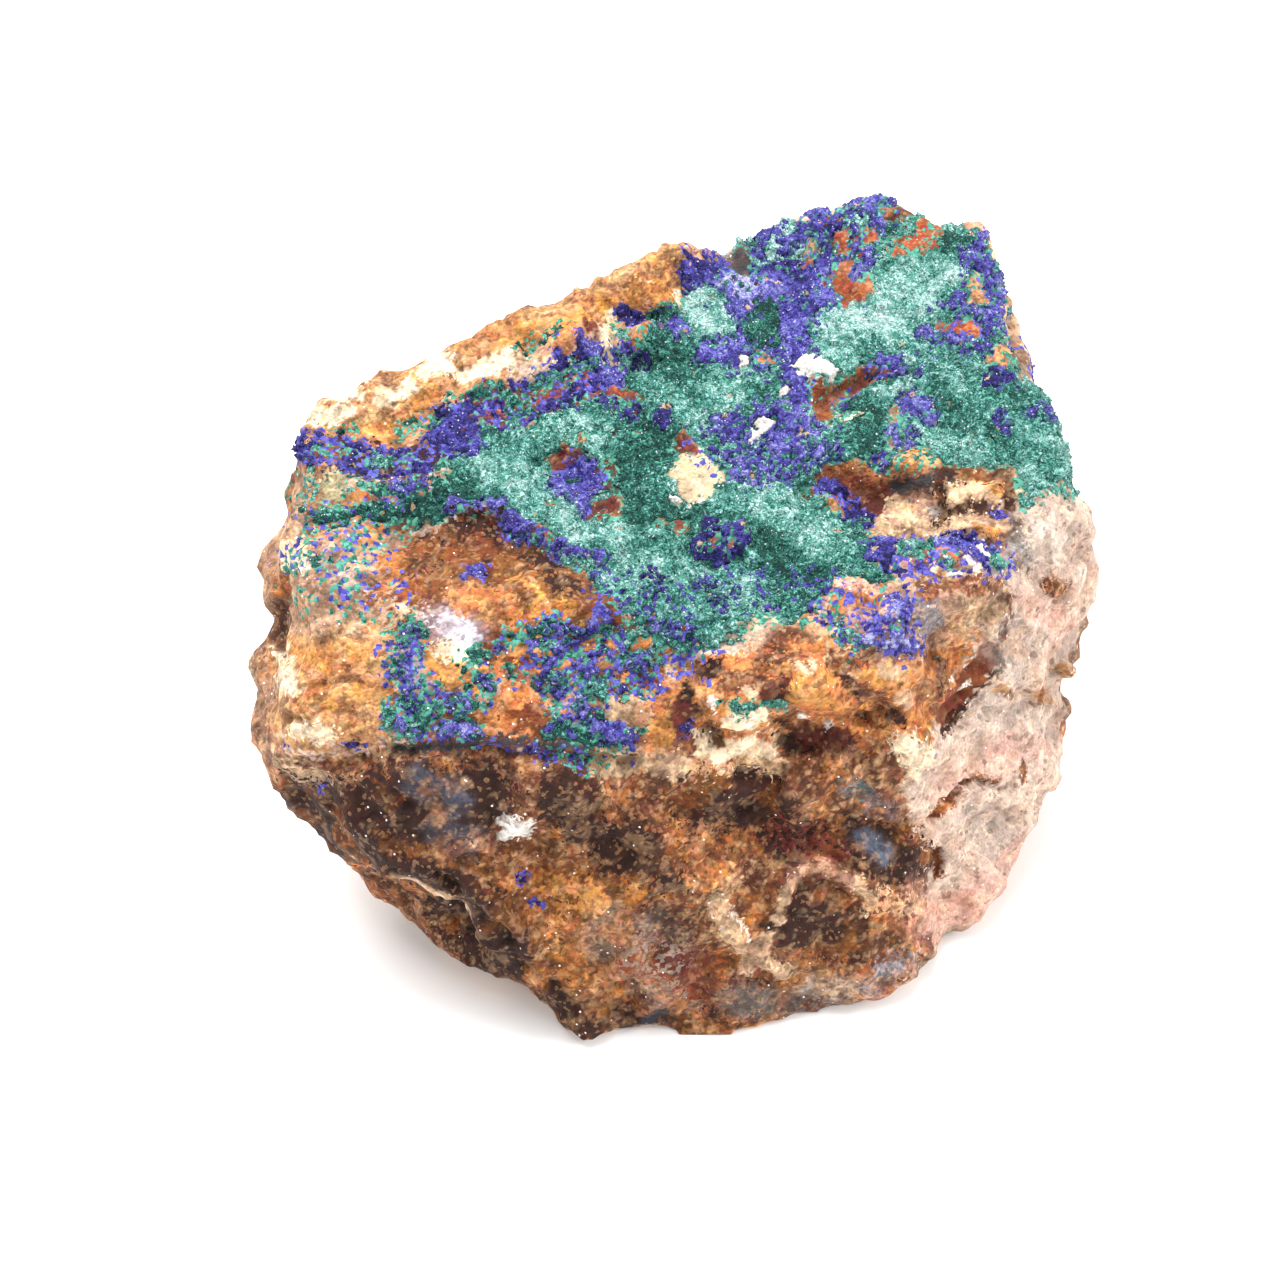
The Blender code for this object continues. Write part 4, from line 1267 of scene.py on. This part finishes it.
grainSpread = {
    "shorter": 1.5,                     # above 1 the short grains are more
    "drift": 0.12,                      # how far a grain is from its face's middle, mm
    "fromEdge": 0.03,                   # how fully grown a face has to be
    "widest": 1.2,                      # faces larger than this square are the shell's walls, mm
    "toneChange": 0.25,
}


def scatter(name, homes, normals, tones, settings, draw):
    # One grain at each home, leaning its own way from the surface
    count = len(homes)
    grainVerts, grainFaces = grainPoints(settings["shape"])
    lean = draw.normal(size=(count, 3)) * settings["lean"]
    axis = normals + lean
    axis /= np.linalg.norm(axis, axis=1)[:, None]
    side = np.cross(axis, draw.normal(size=(count, 3)))
    side /= np.linalg.norm(side, axis=1)[:, None]
    front = np.cross(axis, side)
    low, high = settings["length"]
    length = low + (high - low) * draw.random(count) ** grainSpread["shorter"]
    width = length * (1.0 + settings["spread"] * (draw.random(count) - 0.5))
    spots = (side[:, None, :] * grainVerts[None, :, 0, None] * width[:, None, None]
             + front[:, None, :] * grainVerts[None, :, 1, None] * width[:, None, None]
             + axis[:, None, :] * grainVerts[None, :, 2, None] * length[:, None, None])
    spots += homes[:, None, :] + normals[:, None, :] * (length * settings["lift"])[:, None, None]
    spots[:, :, 2] = np.maximum(spots[:, :, 2], 0.0)
    corners = (grainFaces[None] + np.arange(count)[:, None, None] * len(grainVerts)).ravel()
    mesh = bpy.data.meshes.new(name)
    mesh.vertices.add(count * len(grainVerts))
    mesh.vertices.foreach_set("co", (spots * mm).ravel())
    mesh.loops.add(len(corners))
    mesh.loops.foreach_set("vertex_index", corners.astype(np.int32))
    faces = len(corners) // 3
    mesh.polygons.add(faces)
    mesh.polygons.foreach_set("loop_start", np.arange(faces, dtype=np.int32) * 3)
    mesh.update(calc_edges=True)
    # tip: how far up its grain a point is; the shaders make tips paler, partly as a painted highlight
    height = grainVerts[:, 2] - grainVerts[:, 2].min()
    height /= height.max()
    storeNumber(mesh, "tone", np.repeat(tones, len(grainVerts)))
    storeNumber(mesh, "tip", np.tile(height, count))
    storeNumber(mesh, "hollow", np.full(count * len(grainVerts), 0.5))
    storeNumber(mesh, "edge", np.ones(count * len(grainVerts)))
    return mesh


def faceSpots(mesh, count, draw, choose):
    # Random spots on a mesh's chosen faces: places, normals and the faces' numbers
    areas = np.empty(len(mesh.polygons))
    mesh.polygons.foreach_get("area", areas)
    flat = np.empty(len(mesh.polygons) * 3)
    mesh.polygons.foreach_get("center", flat)
    centres = flat.reshape(-1, 3).copy() / mm
    mesh.polygons.foreach_get("normal", flat)
    normals = flat.reshape(-1, 3)
    steps = np.cumsum(areas * choose)
    faces = np.searchsorted(steps, draw.random(count) * steps[-1])
    drift = draw.normal(size=(count, 3)) * grainSpread["drift"]
    drift -= normals[faces] * np.einsum("ij,ij->i", drift, normals[faces])[:, None]
    return centres[faces] + drift, normals[faces], faces


grainKinds = {
    # the crust, the grain's shape, how many, length in mm, lean, uneven width and height of the middle
    "malachite_needles": {"on": "malachite", "shape": "needle", "count": 19500, "length": (0.35, 0.8),
                          "lean": 0.9, "spread": 0.5, "lift": 0.2},
    "malachite_tufts": {"on": "malachite", "shape": "needle", "count": 19500, "length": (0.25, 0.55),
                        "lean": 1.4, "spread": 0.6, "lift": 0.15},
    "azurite_crystals": {"on": "azurite", "shape": "crystal", "count": 16000, "length": (0.2, 0.5),
                         "lean": 0.8, "spread": 0.6, "lift": 0.12},
    "calcite_grains": {"on": "calcite", "shape": "crumb", "count": 700, "length": (0.15, 0.4),
                       "lean": 0.9, "spread": 0.6, "lift": 0.0},
}


def growCrystals(name, shells):
    settings = grainKinds[name]
    shell = shells[settings["on"]]
    draw = np.random.RandomState(sum(map(ord, name)))
    tone = np.empty(len(shell.vertices))
    shell.attributes["tone"].data.foreach_get("value", tone)
    edge = np.empty(len(shell.vertices))
    shell.attributes["edge"].data.foreach_get("value", edge)
    outer = faceMeans(shell, edge)
    flat = np.empty(len(shell.polygons))
    shell.polygons.foreach_get("area", flat)
    surface = (outer > grainSpread["fromEdge"]) & (flat < (grainSpread["widest"] * mm) ** 2)
    homes, normals, faces = faceSpots(shell, settings["count"], draw, surface.astype(float))
    tones = faceMeans(shell, tone)[faces] + draw.normal(size=len(faces)) * grainSpread["toneChange"]
    return scatter(name, homes, normals, np.clip(tones, 0.0, 1.0), settings, draw)


# Shader nodes

def addNode(tree, kind, place, **settings):
    node = tree.nodes.new(kind)
    node.location = place
    for key, value in settings.items():
        if key in node.inputs:
            node.inputs[key].default_value = value
        else:
            setattr(node, key.replace("Kind", ""), value)
    return node


def newGroup(name, inputs, outputs):
    # A node group with number inputs, its first one a vector
    tree = bpy.data.node_groups.new(name, "ShaderNodeTree")
    tree.interface.new_socket("Vector", in_out="INPUT", socket_type="NodeSocketVector")
    for label, value in inputs:
        socket = tree.interface.new_socket(label, in_out="INPUT", socket_type="NodeSocketFloat")
        socket.default_value = value
    for label in outputs:
        tree.interface.new_socket(label, in_out="OUTPUT", socket_type="NodeSocketFloat")
    return tree, tree.nodes.new("NodeGroupInput"), tree.nodes.new("NodeGroupOutput")


def mathNode(tree, operation, place, first, second=None, clamp=False):
    node = addNode(tree, "ShaderNodeMath", place, operation=operation, use_clamp=clamp)
    for slot, value in enumerate((first, second)):
        if value is None:
            continue
        if isinstance(value, (int, float)):
            node.inputs[slot].default_value = value
        else:
            tree.links.new(value, node.inputs[slot])
    return node.outputs[0]


grainNodes = {
    "inputs": (("Grains", 2500.0), ("Bend", 0.0002), ("Sparkle Share", 0.06)),
    "bends": 1400.0,                    # bends of the grains' outlines, per metre
    "paintedGlintSize": 0.32,                # as a share of a grain
    "shadeRise": 0.8,                   # how much higher pale grains stand
}


def makeGrainGroup():
    # Grains: each cell has its own shade, a few are white painted glints, and all stand proud
    tree, given, gives = newGroup("mineral grain", grainNodes["inputs"],
                                  ("Shade", "Pick", "Painted Glint", "Height"))
    link = tree.links.new
    bend = addNode(tree, "ShaderNodeTexNoise", (-600, -200), Scale=grainNodes["bends"], Detail=1.0)
    link(given.outputs["Vector"], bend.inputs["Vector"])
    centred = addNode(tree, "ShaderNodeVectorMath", (-420, -200), operation="SUBTRACT")
    link(bend.outputs["Color"], centred.inputs[0])
    centred.inputs[1].default_value = (0.5, 0.5, 0.5)
    scaled = addNode(tree, "ShaderNodeVectorMath", (-260, -200), operation="SCALE")
    link(centred.outputs[0], scaled.inputs[0])
    link(given.outputs["Bend"], scaled.inputs["Scale"])
    moved = addNode(tree, "ShaderNodeVectorMath", (-100, 0), operation="ADD")
    link(given.outputs["Vector"], moved.inputs[0])
    link(scaled.outputs[0], moved.inputs[1])
    cells = addNode(tree, "ShaderNodeTexVoronoi", (80, 0), feature="F1")
    link(moved.outputs[0], cells.inputs["Vector"])
    link(given.outputs["Grains"], cells.inputs["Scale"])
    parts = addNode(tree, "ShaderNodeSeparateColor", (260, 100))
    link(cells.outputs["Color"], parts.inputs[0])
    link(parts.outputs[0], gives.inputs["Shade"])
    link(parts.outputs[2], gives.inputs["Pick"])
    # painted glints: the few small grains that the shaders turn white
    rare = mathNode(tree, "LESS_THAN", (440, -40), parts.outputs[1], given.outputs["Sparkle Share"])
    near = mathNode(tree, "LESS_THAN", (440, -200), cells.outputs["Distance"], grainNodes["paintedGlintSize"])
    link(mathNode(tree, "MULTIPLY", (620, -80), rare, near), gives.inputs["Painted Glint"])
    dome = mathNode(tree, "SUBTRACT", (440, -360), 1.0, cells.outputs["Distance"])
    share = mathNode(tree, "MULTIPLY", (620, -300), parts.outputs[0], grainNodes["shadeRise"])
    link(mathNode(tree, "ADD", (800, -300), dome, share), gives.inputs["Height"])
    given.location, gives.location = (-800, 0), (1000, 0)
    return tree


mottleNodes = {
    "inputs": (("Patches", 300.0), ("Detail", 4.0), ("Bend", 0.6), ("Low", 0.4), ("High", 0.6)),
    "rough": 0.62,                      # how strong the patches' finer parts are
}


def makeMottleGroup():
    # Soft uneven patches, as a mask from 0 to 1
    tree, given, gives = newGroup("mottle", mottleNodes["inputs"], ("Mask",))
    link = tree.links.new
    noise = addNode(tree, "ShaderNodeTexNoise", (0, 0), Roughness=mottleNodes["rough"])
    link(given.outputs["Vector"], noise.inputs["Vector"])
    link(given.outputs["Patches"], noise.inputs["Scale"])
    link(given.outputs["Detail"], noise.inputs["Detail"])
    link(given.outputs["Bend"], noise.inputs["Distortion"])
    spread = addNode(tree, "ShaderNodeMapRange", (220, 0), interpolation_type="SMOOTHSTEP")
    link(noise.outputs["Fac"], spread.inputs["Value"])
    link(given.outputs["Low"], spread.inputs["From Min"])
    link(given.outputs["High"], spread.inputs["From Max"])
    link(spread.outputs[0], gives.inputs["Mask"])
    given.location, gives.location = (-220, 0), (440, 0)
    return tree


def useGroup(tree, group, place, vector, **values):
    node = tree.nodes.new("ShaderNodeGroup")
    node.node_tree = group
    node.location = place
    tree.links.new(vector, node.inputs["Vector"])
    for label, value in values.items():
        node.inputs[label.replace("_", " ")].default_value = value
    return node


def mixColour(tree, place, share, first, second, blend="MIX"):
    node = addNode(tree, "ShaderNodeMix", place, data_type="RGBA", blend_type=blend)
    slots = [socket for socket in node.inputs if socket.type == "RGBA"]
    for socket, value in ((node.inputs[0], share), (slots[0], first), (slots[1], second)):
        if isinstance(value, bpy.types.NodeSocket):
            tree.links.new(value, socket)
        else:
            socket.default_value = value
    return [socket for socket in node.outputs if socket.type == "RGBA"][0]


# Tints that the crusts' shaders run through, from the darkest gaps to the palest tips; the gaps' dark is
# partly painted shade and the tips' pale partly a painted highlight

crustTints = {
    "azurite": ((28, 24, 80), (70, 62, 160), (122, 120, 200), (196, 198, 238)),
    "malachite": ((14, 60, 54), (50, 130, 114), (120, 188, 176), (204, 232, 228)),
    "calcite": ((196, 160, 128), (230, 204, 172), (246, 232, 212), (254, 252, 248)),
}

# The darkest and palest of the single grains that lie on the rock or another crust

fleckTints = {
    "azurite": ((40, 34, 120), (104, 102, 190)),
    "malachite": ((22, 80, 64), (94, 170, 148)),
}


def tint(colour):
    return (*linearTint(colour), 1.0)


def startMaterial(name):
    material = bpy.data.materials.new(name)
    material.use_nodes = True
    tree = material.node_tree
    shader = next(node for node in tree.nodes if node.type == "BSDF_PRINCIPLED")
    spot = addNode(tree, "ShaderNodeTexCoord", (-1600, 0)).outputs["Object"]
    return material, tree, shader, spot


def attribute(tree, name, place, output="Fac"):
    node = addNode(tree, "ShaderNodeAttribute", place)
    node.attribute_name = name
    return node.outputs[output]


def bumpFrom(tree, shader, height, distance):
    bump = addNode(tree, "ShaderNodeBump", (-200, -500), Distance=distance)
    tree.links.new(height, bump.inputs["Height"])
    tree.links.new(bump.outputs[0], shader.inputs["Normal"])


def mapped(tree, place, value, low, high):
    node = addNode(tree, "ShaderNodeMapRange", place)
    node.inputs["To Min"].default_value = low
    node.inputs["To Max"].default_value = high
    tree.links.new(value, node.inputs["Value"])
    return node.outputs[0]


def addFlecks(tree, colour, kind, density, chance, shade, place):
    # Single grains of another crust: where the chance is below its density there
    low, high = fleckTints[kind]
    own = mixColour(tree, place, shade, tint(low), tint(high))
    here = mathNode(tree, "LESS_THAN", (place[0], place[1] - 200), chance, density)
    return mixColour(tree, (place[0] + 160, place[1]), here, colour, own)


rockFinish = {
    # grains per metre, and how many of them carry a white painted glint
    "grains": {"Grains": 2000.0, "Bend": 0.0, "Sparkle_Share": 0.01},
    "clumps": {"Grains": 850.0, "Bend": 0.0, "Sparkle_Share": 0.0},
    "flecks": {"Grains": 1500.0, "Bend": 0.0, "Sparkle_Share": 0.0},
    # uneven patches: how many per metre, and between which values they begin and are whole
    "broad": {"Patches": 330.0, "Detail": 6.0, "Bend": 0.2, "Low": 0.36, "High": 0.64},
    "small": {"Patches": 1300.0, "Detail": 4.0, "Bend": 0.0, "Low": 0.3, "High": 0.7},
    "secondTint": (0.6, 0.4),           # how far single flecks and small patches take the second tint
    "grainShade": (0.64, 1.36), "clumpShade": (0.74, 1.26), "broadShade": (1.12, 0.84),
    # painted shade: the rock is darkened in its hollows
    "paintedHollowShade": (1.06, 0.6),
    "unevenness": (0.5, 1.1),           # share of these shades in plain and in varied rock
    "hue": (0.488, 0.512),
    # single dark and pale grains: the tint, how many, and how strong they are
    "darkSpecks": ((58, 34, 28), 0.2, 0.45), "paleSpecks": ((216, 166, 120), 0.2, 0.22),
    # the tint of the painted glints
    "paintedGlintTint": (244, 236, 226), "specular": 0.22,
    # how many grains take a crust's colour: the crust, where its density is, the grains' own
    # number that decides, and the strength
    "crustFlecks": (("azurite", "blue", "Pick", 1.0), ("malachite", "green", "Shade", 0.95)),
    "roughness": (0.6, 0.92),
    "smallRise": 0.6, "bump": 0.00016,
}


def unevenShade(tree, values, variety):
    # The product of the rock's shades, which is near 1 on the whole and calmer on plain rock
    shade = 1.0
    for step, (name, value) in enumerate(values):
        change = mapped(tree, (-900 + step * 90, -100), value, *rockFinish[name])
        shade = mathNode(tree, "MULTIPLY", (-820 + step * 90, 60), change, shade)
    calm = mapped(tree, (-1100, 920), variety, *rockFinish["unevenness"])
    shade = mathNode(tree, "SUBTRACT", (-640, 60), shade, 1.0)
    shade = mathNode(tree, "MULTIPLY", (-600, 60), shade, calm)
    return mathNode(tree, "ADD", (-560, 60), shade, 1.0)


def rockMaterial(grainGroup, mottleGroup):
    finish = rockFinish
    material, tree, shader, spot = startMaterial("stained_rock")
    link = tree.links.new
    grain = useGroup(tree, grainGroup, (-1300, 0), spot, **finish["grains"])
    clump = useGroup(tree, grainGroup, (-1300, -220), spot, **finish["clumps"])
    fleck = useGroup(tree, grainGroup, (-1500, -220), spot, **finish["flecks"])
    broad = useGroup(tree, mottleGroup, (-1300, -440), spot, **finish["broad"])
    small = useGroup(tree, mottleGroup, (-1300, -660), spot, **finish["small"])
    # where the rock's second tint shows through the first
    byFleck, byPatch = finish["secondTint"]
    chance = mathNode(tree, "ADD", (-920, 300),
                      mathNode(tree, "MULTIPLY", (-1080, 300), fleck.outputs["Pick"], byFleck),
                      mathNode(tree, "MULTIPLY", (-1080, 200), small.outputs["Mask"], byPatch))
    first = mathNode(tree, "LESS_THAN", (-800, 300), chance, attribute(tree, "share", (-1300, 460)))
    colour = mixColour(tree, (-700, 300), first, attribute(tree, "other", (-1300, 620), "Color"),
                       attribute(tree, "stain", (-1300, 780), "Color"))
    variety = attribute(tree, "variety", (-1300, 920))
    # the last of these is painted shade, darker in the rock's hollows
    shades = (("grainShade", grain.outputs["Shade"]), ("clumpShade", clump.outputs["Shade"]),
              ("broadShade", broad.outputs["Mask"]),
              ("paintedHollowShade", attribute(tree, "hollow", (-1300, -900))))
    shade = unevenShade(tree, shades, variety)
    varied = addNode(tree, "ShaderNodeHueSaturation", (-480, 200))
    link(colour, varied.inputs["Color"])
    link(shade, varied.inputs["Value"])
    link(mapped(tree, (-700, -240), clump.outputs["Pick"], *finish["hue"]), varied.inputs["Hue"])
    colour = varied.outputs[0]
    specks = (("darkSpecks", fleck.outputs["Shade"]), ("paleSpecks", grain.outputs["Pick"]))
    for step, (name, value) in enumerate(specks):
        speckTint, share, strength = finish[name]
        high = 700 + step * 200
        chance = mathNode(tree, "MULTIPLY", (-700, high), variety, share)
        here = mathNode(tree, "LESS_THAN", (-540, high), value, chance)
        here = mathNode(tree, "MULTIPLY", (-380, high), here, strength)
        colour = mixColour(tree, (-220, high), here, colour, tint(speckTint))
    for kind, name, own, strength in finish["crustFlecks"]:
        density = attribute(tree, name, (-1300, -1000))
        density = mathNode(tree, "MULTIPLY", (-1100, -1000), density, strength)
        colour = addFlecks(tree, colour, kind, density, fleck.outputs[own], grain.outputs["Shade"],
                           (-300, 400))
    # painted glints: white specks mixed into the base colour
    colour = mixColour(tree, (-100, 200), grain.outputs["Painted Glint"], colour, tint(finish["paintedGlintTint"]))
    link(colour, shader.inputs["Base Color"])
    roughness = mapped(tree, (-300, -100), grain.outputs["Shade"], *finish["roughness"])
    link(roughness, shader.inputs["Roughness"])
    height = mathNode(tree, "ADD", (-600, -500), grain.outputs["Height"], clump.outputs["Height"])
    rise = mathNode(tree, "MULTIPLY", (-600, -620), small.outputs["Mask"], finish["smallRise"])
    bumpFrom(tree, shader, mathNode(tree, "ADD", (-460, -500), height, rise), finish["bump"])
    shader.inputs["Specular IOR Level"].default_value = finish["specular"]
    return material


crustFinish = {
    # grains per metre, then how far grains, patches, strokes, hollows and tips change the tone; the hollows
    # darken partly as painted shade, the tips pale partly as a painted highlight, and the glints are
    # painted
    "azurite": {"grains": 3000.0, "own": 0.4, "patch": 0.22, "stroke": 0.24, "hollow": -0.34, "tip": 0.1,
                "paintedGlintShare": 0.05, "roughness": (0.35, 0.7), "bump": 0.0002, "specular": 0.3,
                "other": ("malachite", "green", 0.14), "bare": 0.02},
    "malachite": {"grains": 2600.0, "own": 0.34, "patch": 0.3, "stroke": 0.5, "hollow": -0.5, "tip": 0.25,
                  "paintedGlintShare": 0.03, "roughness": (0.5, 0.85), "bump": 0.00025, "specular": 0.3,
                  "other": ("azurite", "blue", 0.55), "bare": 0.003},
    "calcite": {"grains": 2200.0, "own": 0.3, "patch": 0.2, "stroke": 0.3, "hollow": -0.3, "tip": 0.1,
                "paintedGlintShare": 0.05, "roughness": (0.4, 0.75), "bump": 0.0002, "specular": 0.4,
                "other": ("azurite", "blue", 0.1), "bare": 0.0},
}

crustPattern = {
    # the same for all three
    "bend": 0.0003,
    "clumps": {"Grains": 1300.0, "Bend": 0.0008, "Sparkle_Share": 0.0},
    "patches": {"Patches": 360.0, "Detail": 5.0, "Bend": 1.2, "Low": 0.3, "High": 0.7},
    "strokes": {"Patches": 1200.0, "Detail": 3.0, "Bend": 2.6, "Low": 0.38, "High": 0.62},
    # the tint of the painted glints
    "paintedGlintTint": (244, 244, 252),
}


def tintsAcross(tree, place, tints, value):
    # A colour ramp with its tints evenly spread
    node = addNode(tree, "ShaderNodeValToRGB", place)
    stops = node.color_ramp.elements
    for step in range(1, len(tints) - 1):
        stops.new(step / (len(tints) - 1))
    for stop, colour in zip(stops, tints):
        stop.color = tint(colour)
    tree.links.new(value, node.inputs[0])
    return node.outputs[0]


def crustMaterial(kind, grainGroup, mottleGroup):
    finish = crustFinish[kind]
    material, tree, shader, spot = startMaterial(kind)
    link = tree.links.new
    grain = useGroup(tree, grainGroup, (-1300, 0), spot, Grains=finish["grains"], Bend=crustPattern["bend"],
                     Sparkle_Share=finish["paintedGlintShare"])
    clump = useGroup(tree, grainGroup, (-1300, -220), spot, **crustPattern["clumps"])
    patch = useGroup(tree, mottleGroup, (-1300, -440), spot, **crustPattern["patches"])
    strokes = useGroup(tree, mottleGroup, (-1300, -660), spot, **crustPattern["strokes"])
    total = attribute(tree, "tone", (-1300, 300))
    # what changes the tone, and the value at which it changes nothing; hollows darken it partly as painted
    # shade, and tips pale it partly as a painted highlight
    parts = (("own", grain.outputs["Shade"], 0.5), ("patch", patch.outputs["Mask"], 0.5),
             ("stroke", strokes.outputs["Mask"], 0.5),
             ("hollow", attribute(tree, "hollow", (-1300, 460)), 0.5),
             ("tip", attribute(tree, "tip", (-1300, 620)), 0.0))
    for step, (name, value, middle) in enumerate(parts):
        away = mathNode(tree, "SUBTRACT", (-1100 + step * 90, 100), value, middle)
        change = mathNode(tree, "MULTIPLY", (-1040 + step * 90, 0), away, finish[name])
        total = mathNode(tree, "ADD", (-980 + step * 90, 200), total, change, step == len(parts) - 1)
    colour = tintsAcross(tree, (-500, 200), crustTints[kind], total)
    other, name, strength = finish["other"]
    density = attribute(tree, name, (-1300, -900))
    density = mathNode(tree, "MULTIPLY", (-900, -800), density, strength)
    colour = addFlecks(tree, colour, other, density, clump.outputs["Pick"], grain.outputs["Shade"],
                       (-300, 400))
    bare = mathNode(tree, "LESS_THAN", (-300, 0), clump.outputs["Shade"], finish["bare"])
    colour = mixColour(tree, (-200, 300), bare, colour, attribute(tree, "other", (-1300, -1060), "Color"))
    # painted glints: white specks mixed into the base colour
    white = tint(crustPattern["paintedGlintTint"])
    colour = mixColour(tree, (-100, 200), grain.outputs["Painted Glint"], colour, white)
    link(colour, shader.inputs["Base Color"])
    roughness = mapped(tree, (-300, -200), grain.outputs["Pick"], *finish["roughness"])
    link(roughness, shader.inputs["Roughness"])
    height = mathNode(tree, "ADD", (-460, -500), grain.outputs["Height"], strokes.outputs["Mask"])
    bumpFrom(tree, shader, height, finish["bump"])
    shader.inputs["Specular IOR Level"].default_value = finish["specular"]
    return material


# The floor and the lights

studio = {
    "floorTint": (246, 246, 246), "floorSize": 3.0, "floorRoughness": 0.9,
    "skyStrength": 0.95,
    # each lamp's place and width in metres, and its power
    "lamps": {"top lamp": ((-0.2, 0.22, 0.85), 0.6, 13.0), "right lamp": ((0.75, 0.0, 0.4), 0.5, 5.0)},
}


def addStudio():
    plane = bmesh.new()
    bmesh.ops.create_grid(plane, x_segments=1, y_segments=1, size=studio["floorSize"] / 2)
    floorMesh = bpy.data.meshes.new("floor")
    plane.to_mesh(floorMesh)
    plane.free()
    floor = addObject("floor", floorMesh)
    paper = bpy.data.materials.new("white_paper")
    paper.use_nodes = True
    shader = next(node for node in paper.node_tree.nodes if node.type == "BSDF_PRINCIPLED")
    shader.inputs["Base Color"].default_value = tint(studio["floorTint"])
    shader.inputs["Roughness"].default_value = studio["floorRoughness"]
    floorMesh.materials.append(paper)
    world = bpy.data.worlds.new("soft_sky")
    world.use_nodes = True
    sky = next(node for node in world.node_tree.nodes if node.type == "BACKGROUND")
    sky.inputs["Color"].default_value = (1.0, 1.0, 1.0, 1.0)
    sky.inputs["Strength"].default_value = studio["skyStrength"]
    bpy.context.scene.world = world
    for name, (place, size, power) in studio["lamps"].items():
        lamp = bpy.data.lights.new(name, "AREA")
        lamp.size = size
        lamp.energy = power
        holder = bpy.data.objects.new(name, lamp)
        holder.location = place
        holder.rotation_euler = (-Vector(place)).to_track_quat("-Z", "Y").to_euler()
        bpy.context.scene.collection.objects.link(holder)
    bpy.context.scene.view_settings.view_transform = "Standard"


report("frame loaded")
addCamera()
addStudio()
even = evenRock()
evenState = paintMinerals(pointsOf(even), normalsOf(even))
report(f"even surface: {len(even.polygons)} faces")

meshes = {"matrix_rock": buildRock(even, evenState)}
report("rock shaped")
shells = {}
for kind in crustKinds:
    shells[kind] = buildCrust(kind, even, evenState)
    meshes[kind + "_crust"] = shells[kind]
    report(f"{kind} crust: {len(shells[kind].polygons)} faces")
for name in grainKinds:
    meshes[name] = growCrystals(name, shells)
    report(f"{name}: {len(meshes[name].polygons)} faces")

grainGroup, mottleGroup = makeGrainGroup(), makeMottleGroup()
materials = {
    "matrix_rock": rockMaterial(grainGroup, mottleGroup),
    "azurite_crust": crustMaterial("azurite", grainGroup, mottleGroup),
    "malachite_crust": crustMaterial("malachite", grainGroup, mottleGroup),
    "pale_minerals": crustMaterial("calcite", grainGroup, mottleGroup),
}
slots = {
    "matrix_rock": "matrix_rock", "azurite_crust": "azurite_crust", "azurite_crystals": "azurite_crust",
    "malachite_crust": "malachite_crust", "malachite_needles": "malachite_crust",
    "malachite_tufts": "malachite_crust", "calcite_crust": "pale_minerals",
    "calcite_grains": "pale_minerals",
}
for name, mesh in meshes.items():
    mesh.materials.clear()
    mesh.materials.append(materials[slots[name]])
    piece = addObject(name, mesh)
    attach(piece, "root")
    if name == "matrix_rock":
        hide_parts("azurite_specimen")
    count = sum(len(face.vertices) - 2 for face in mesh.polygons)
    print(f"{name}: {count} triangles")
report("pieces placed")
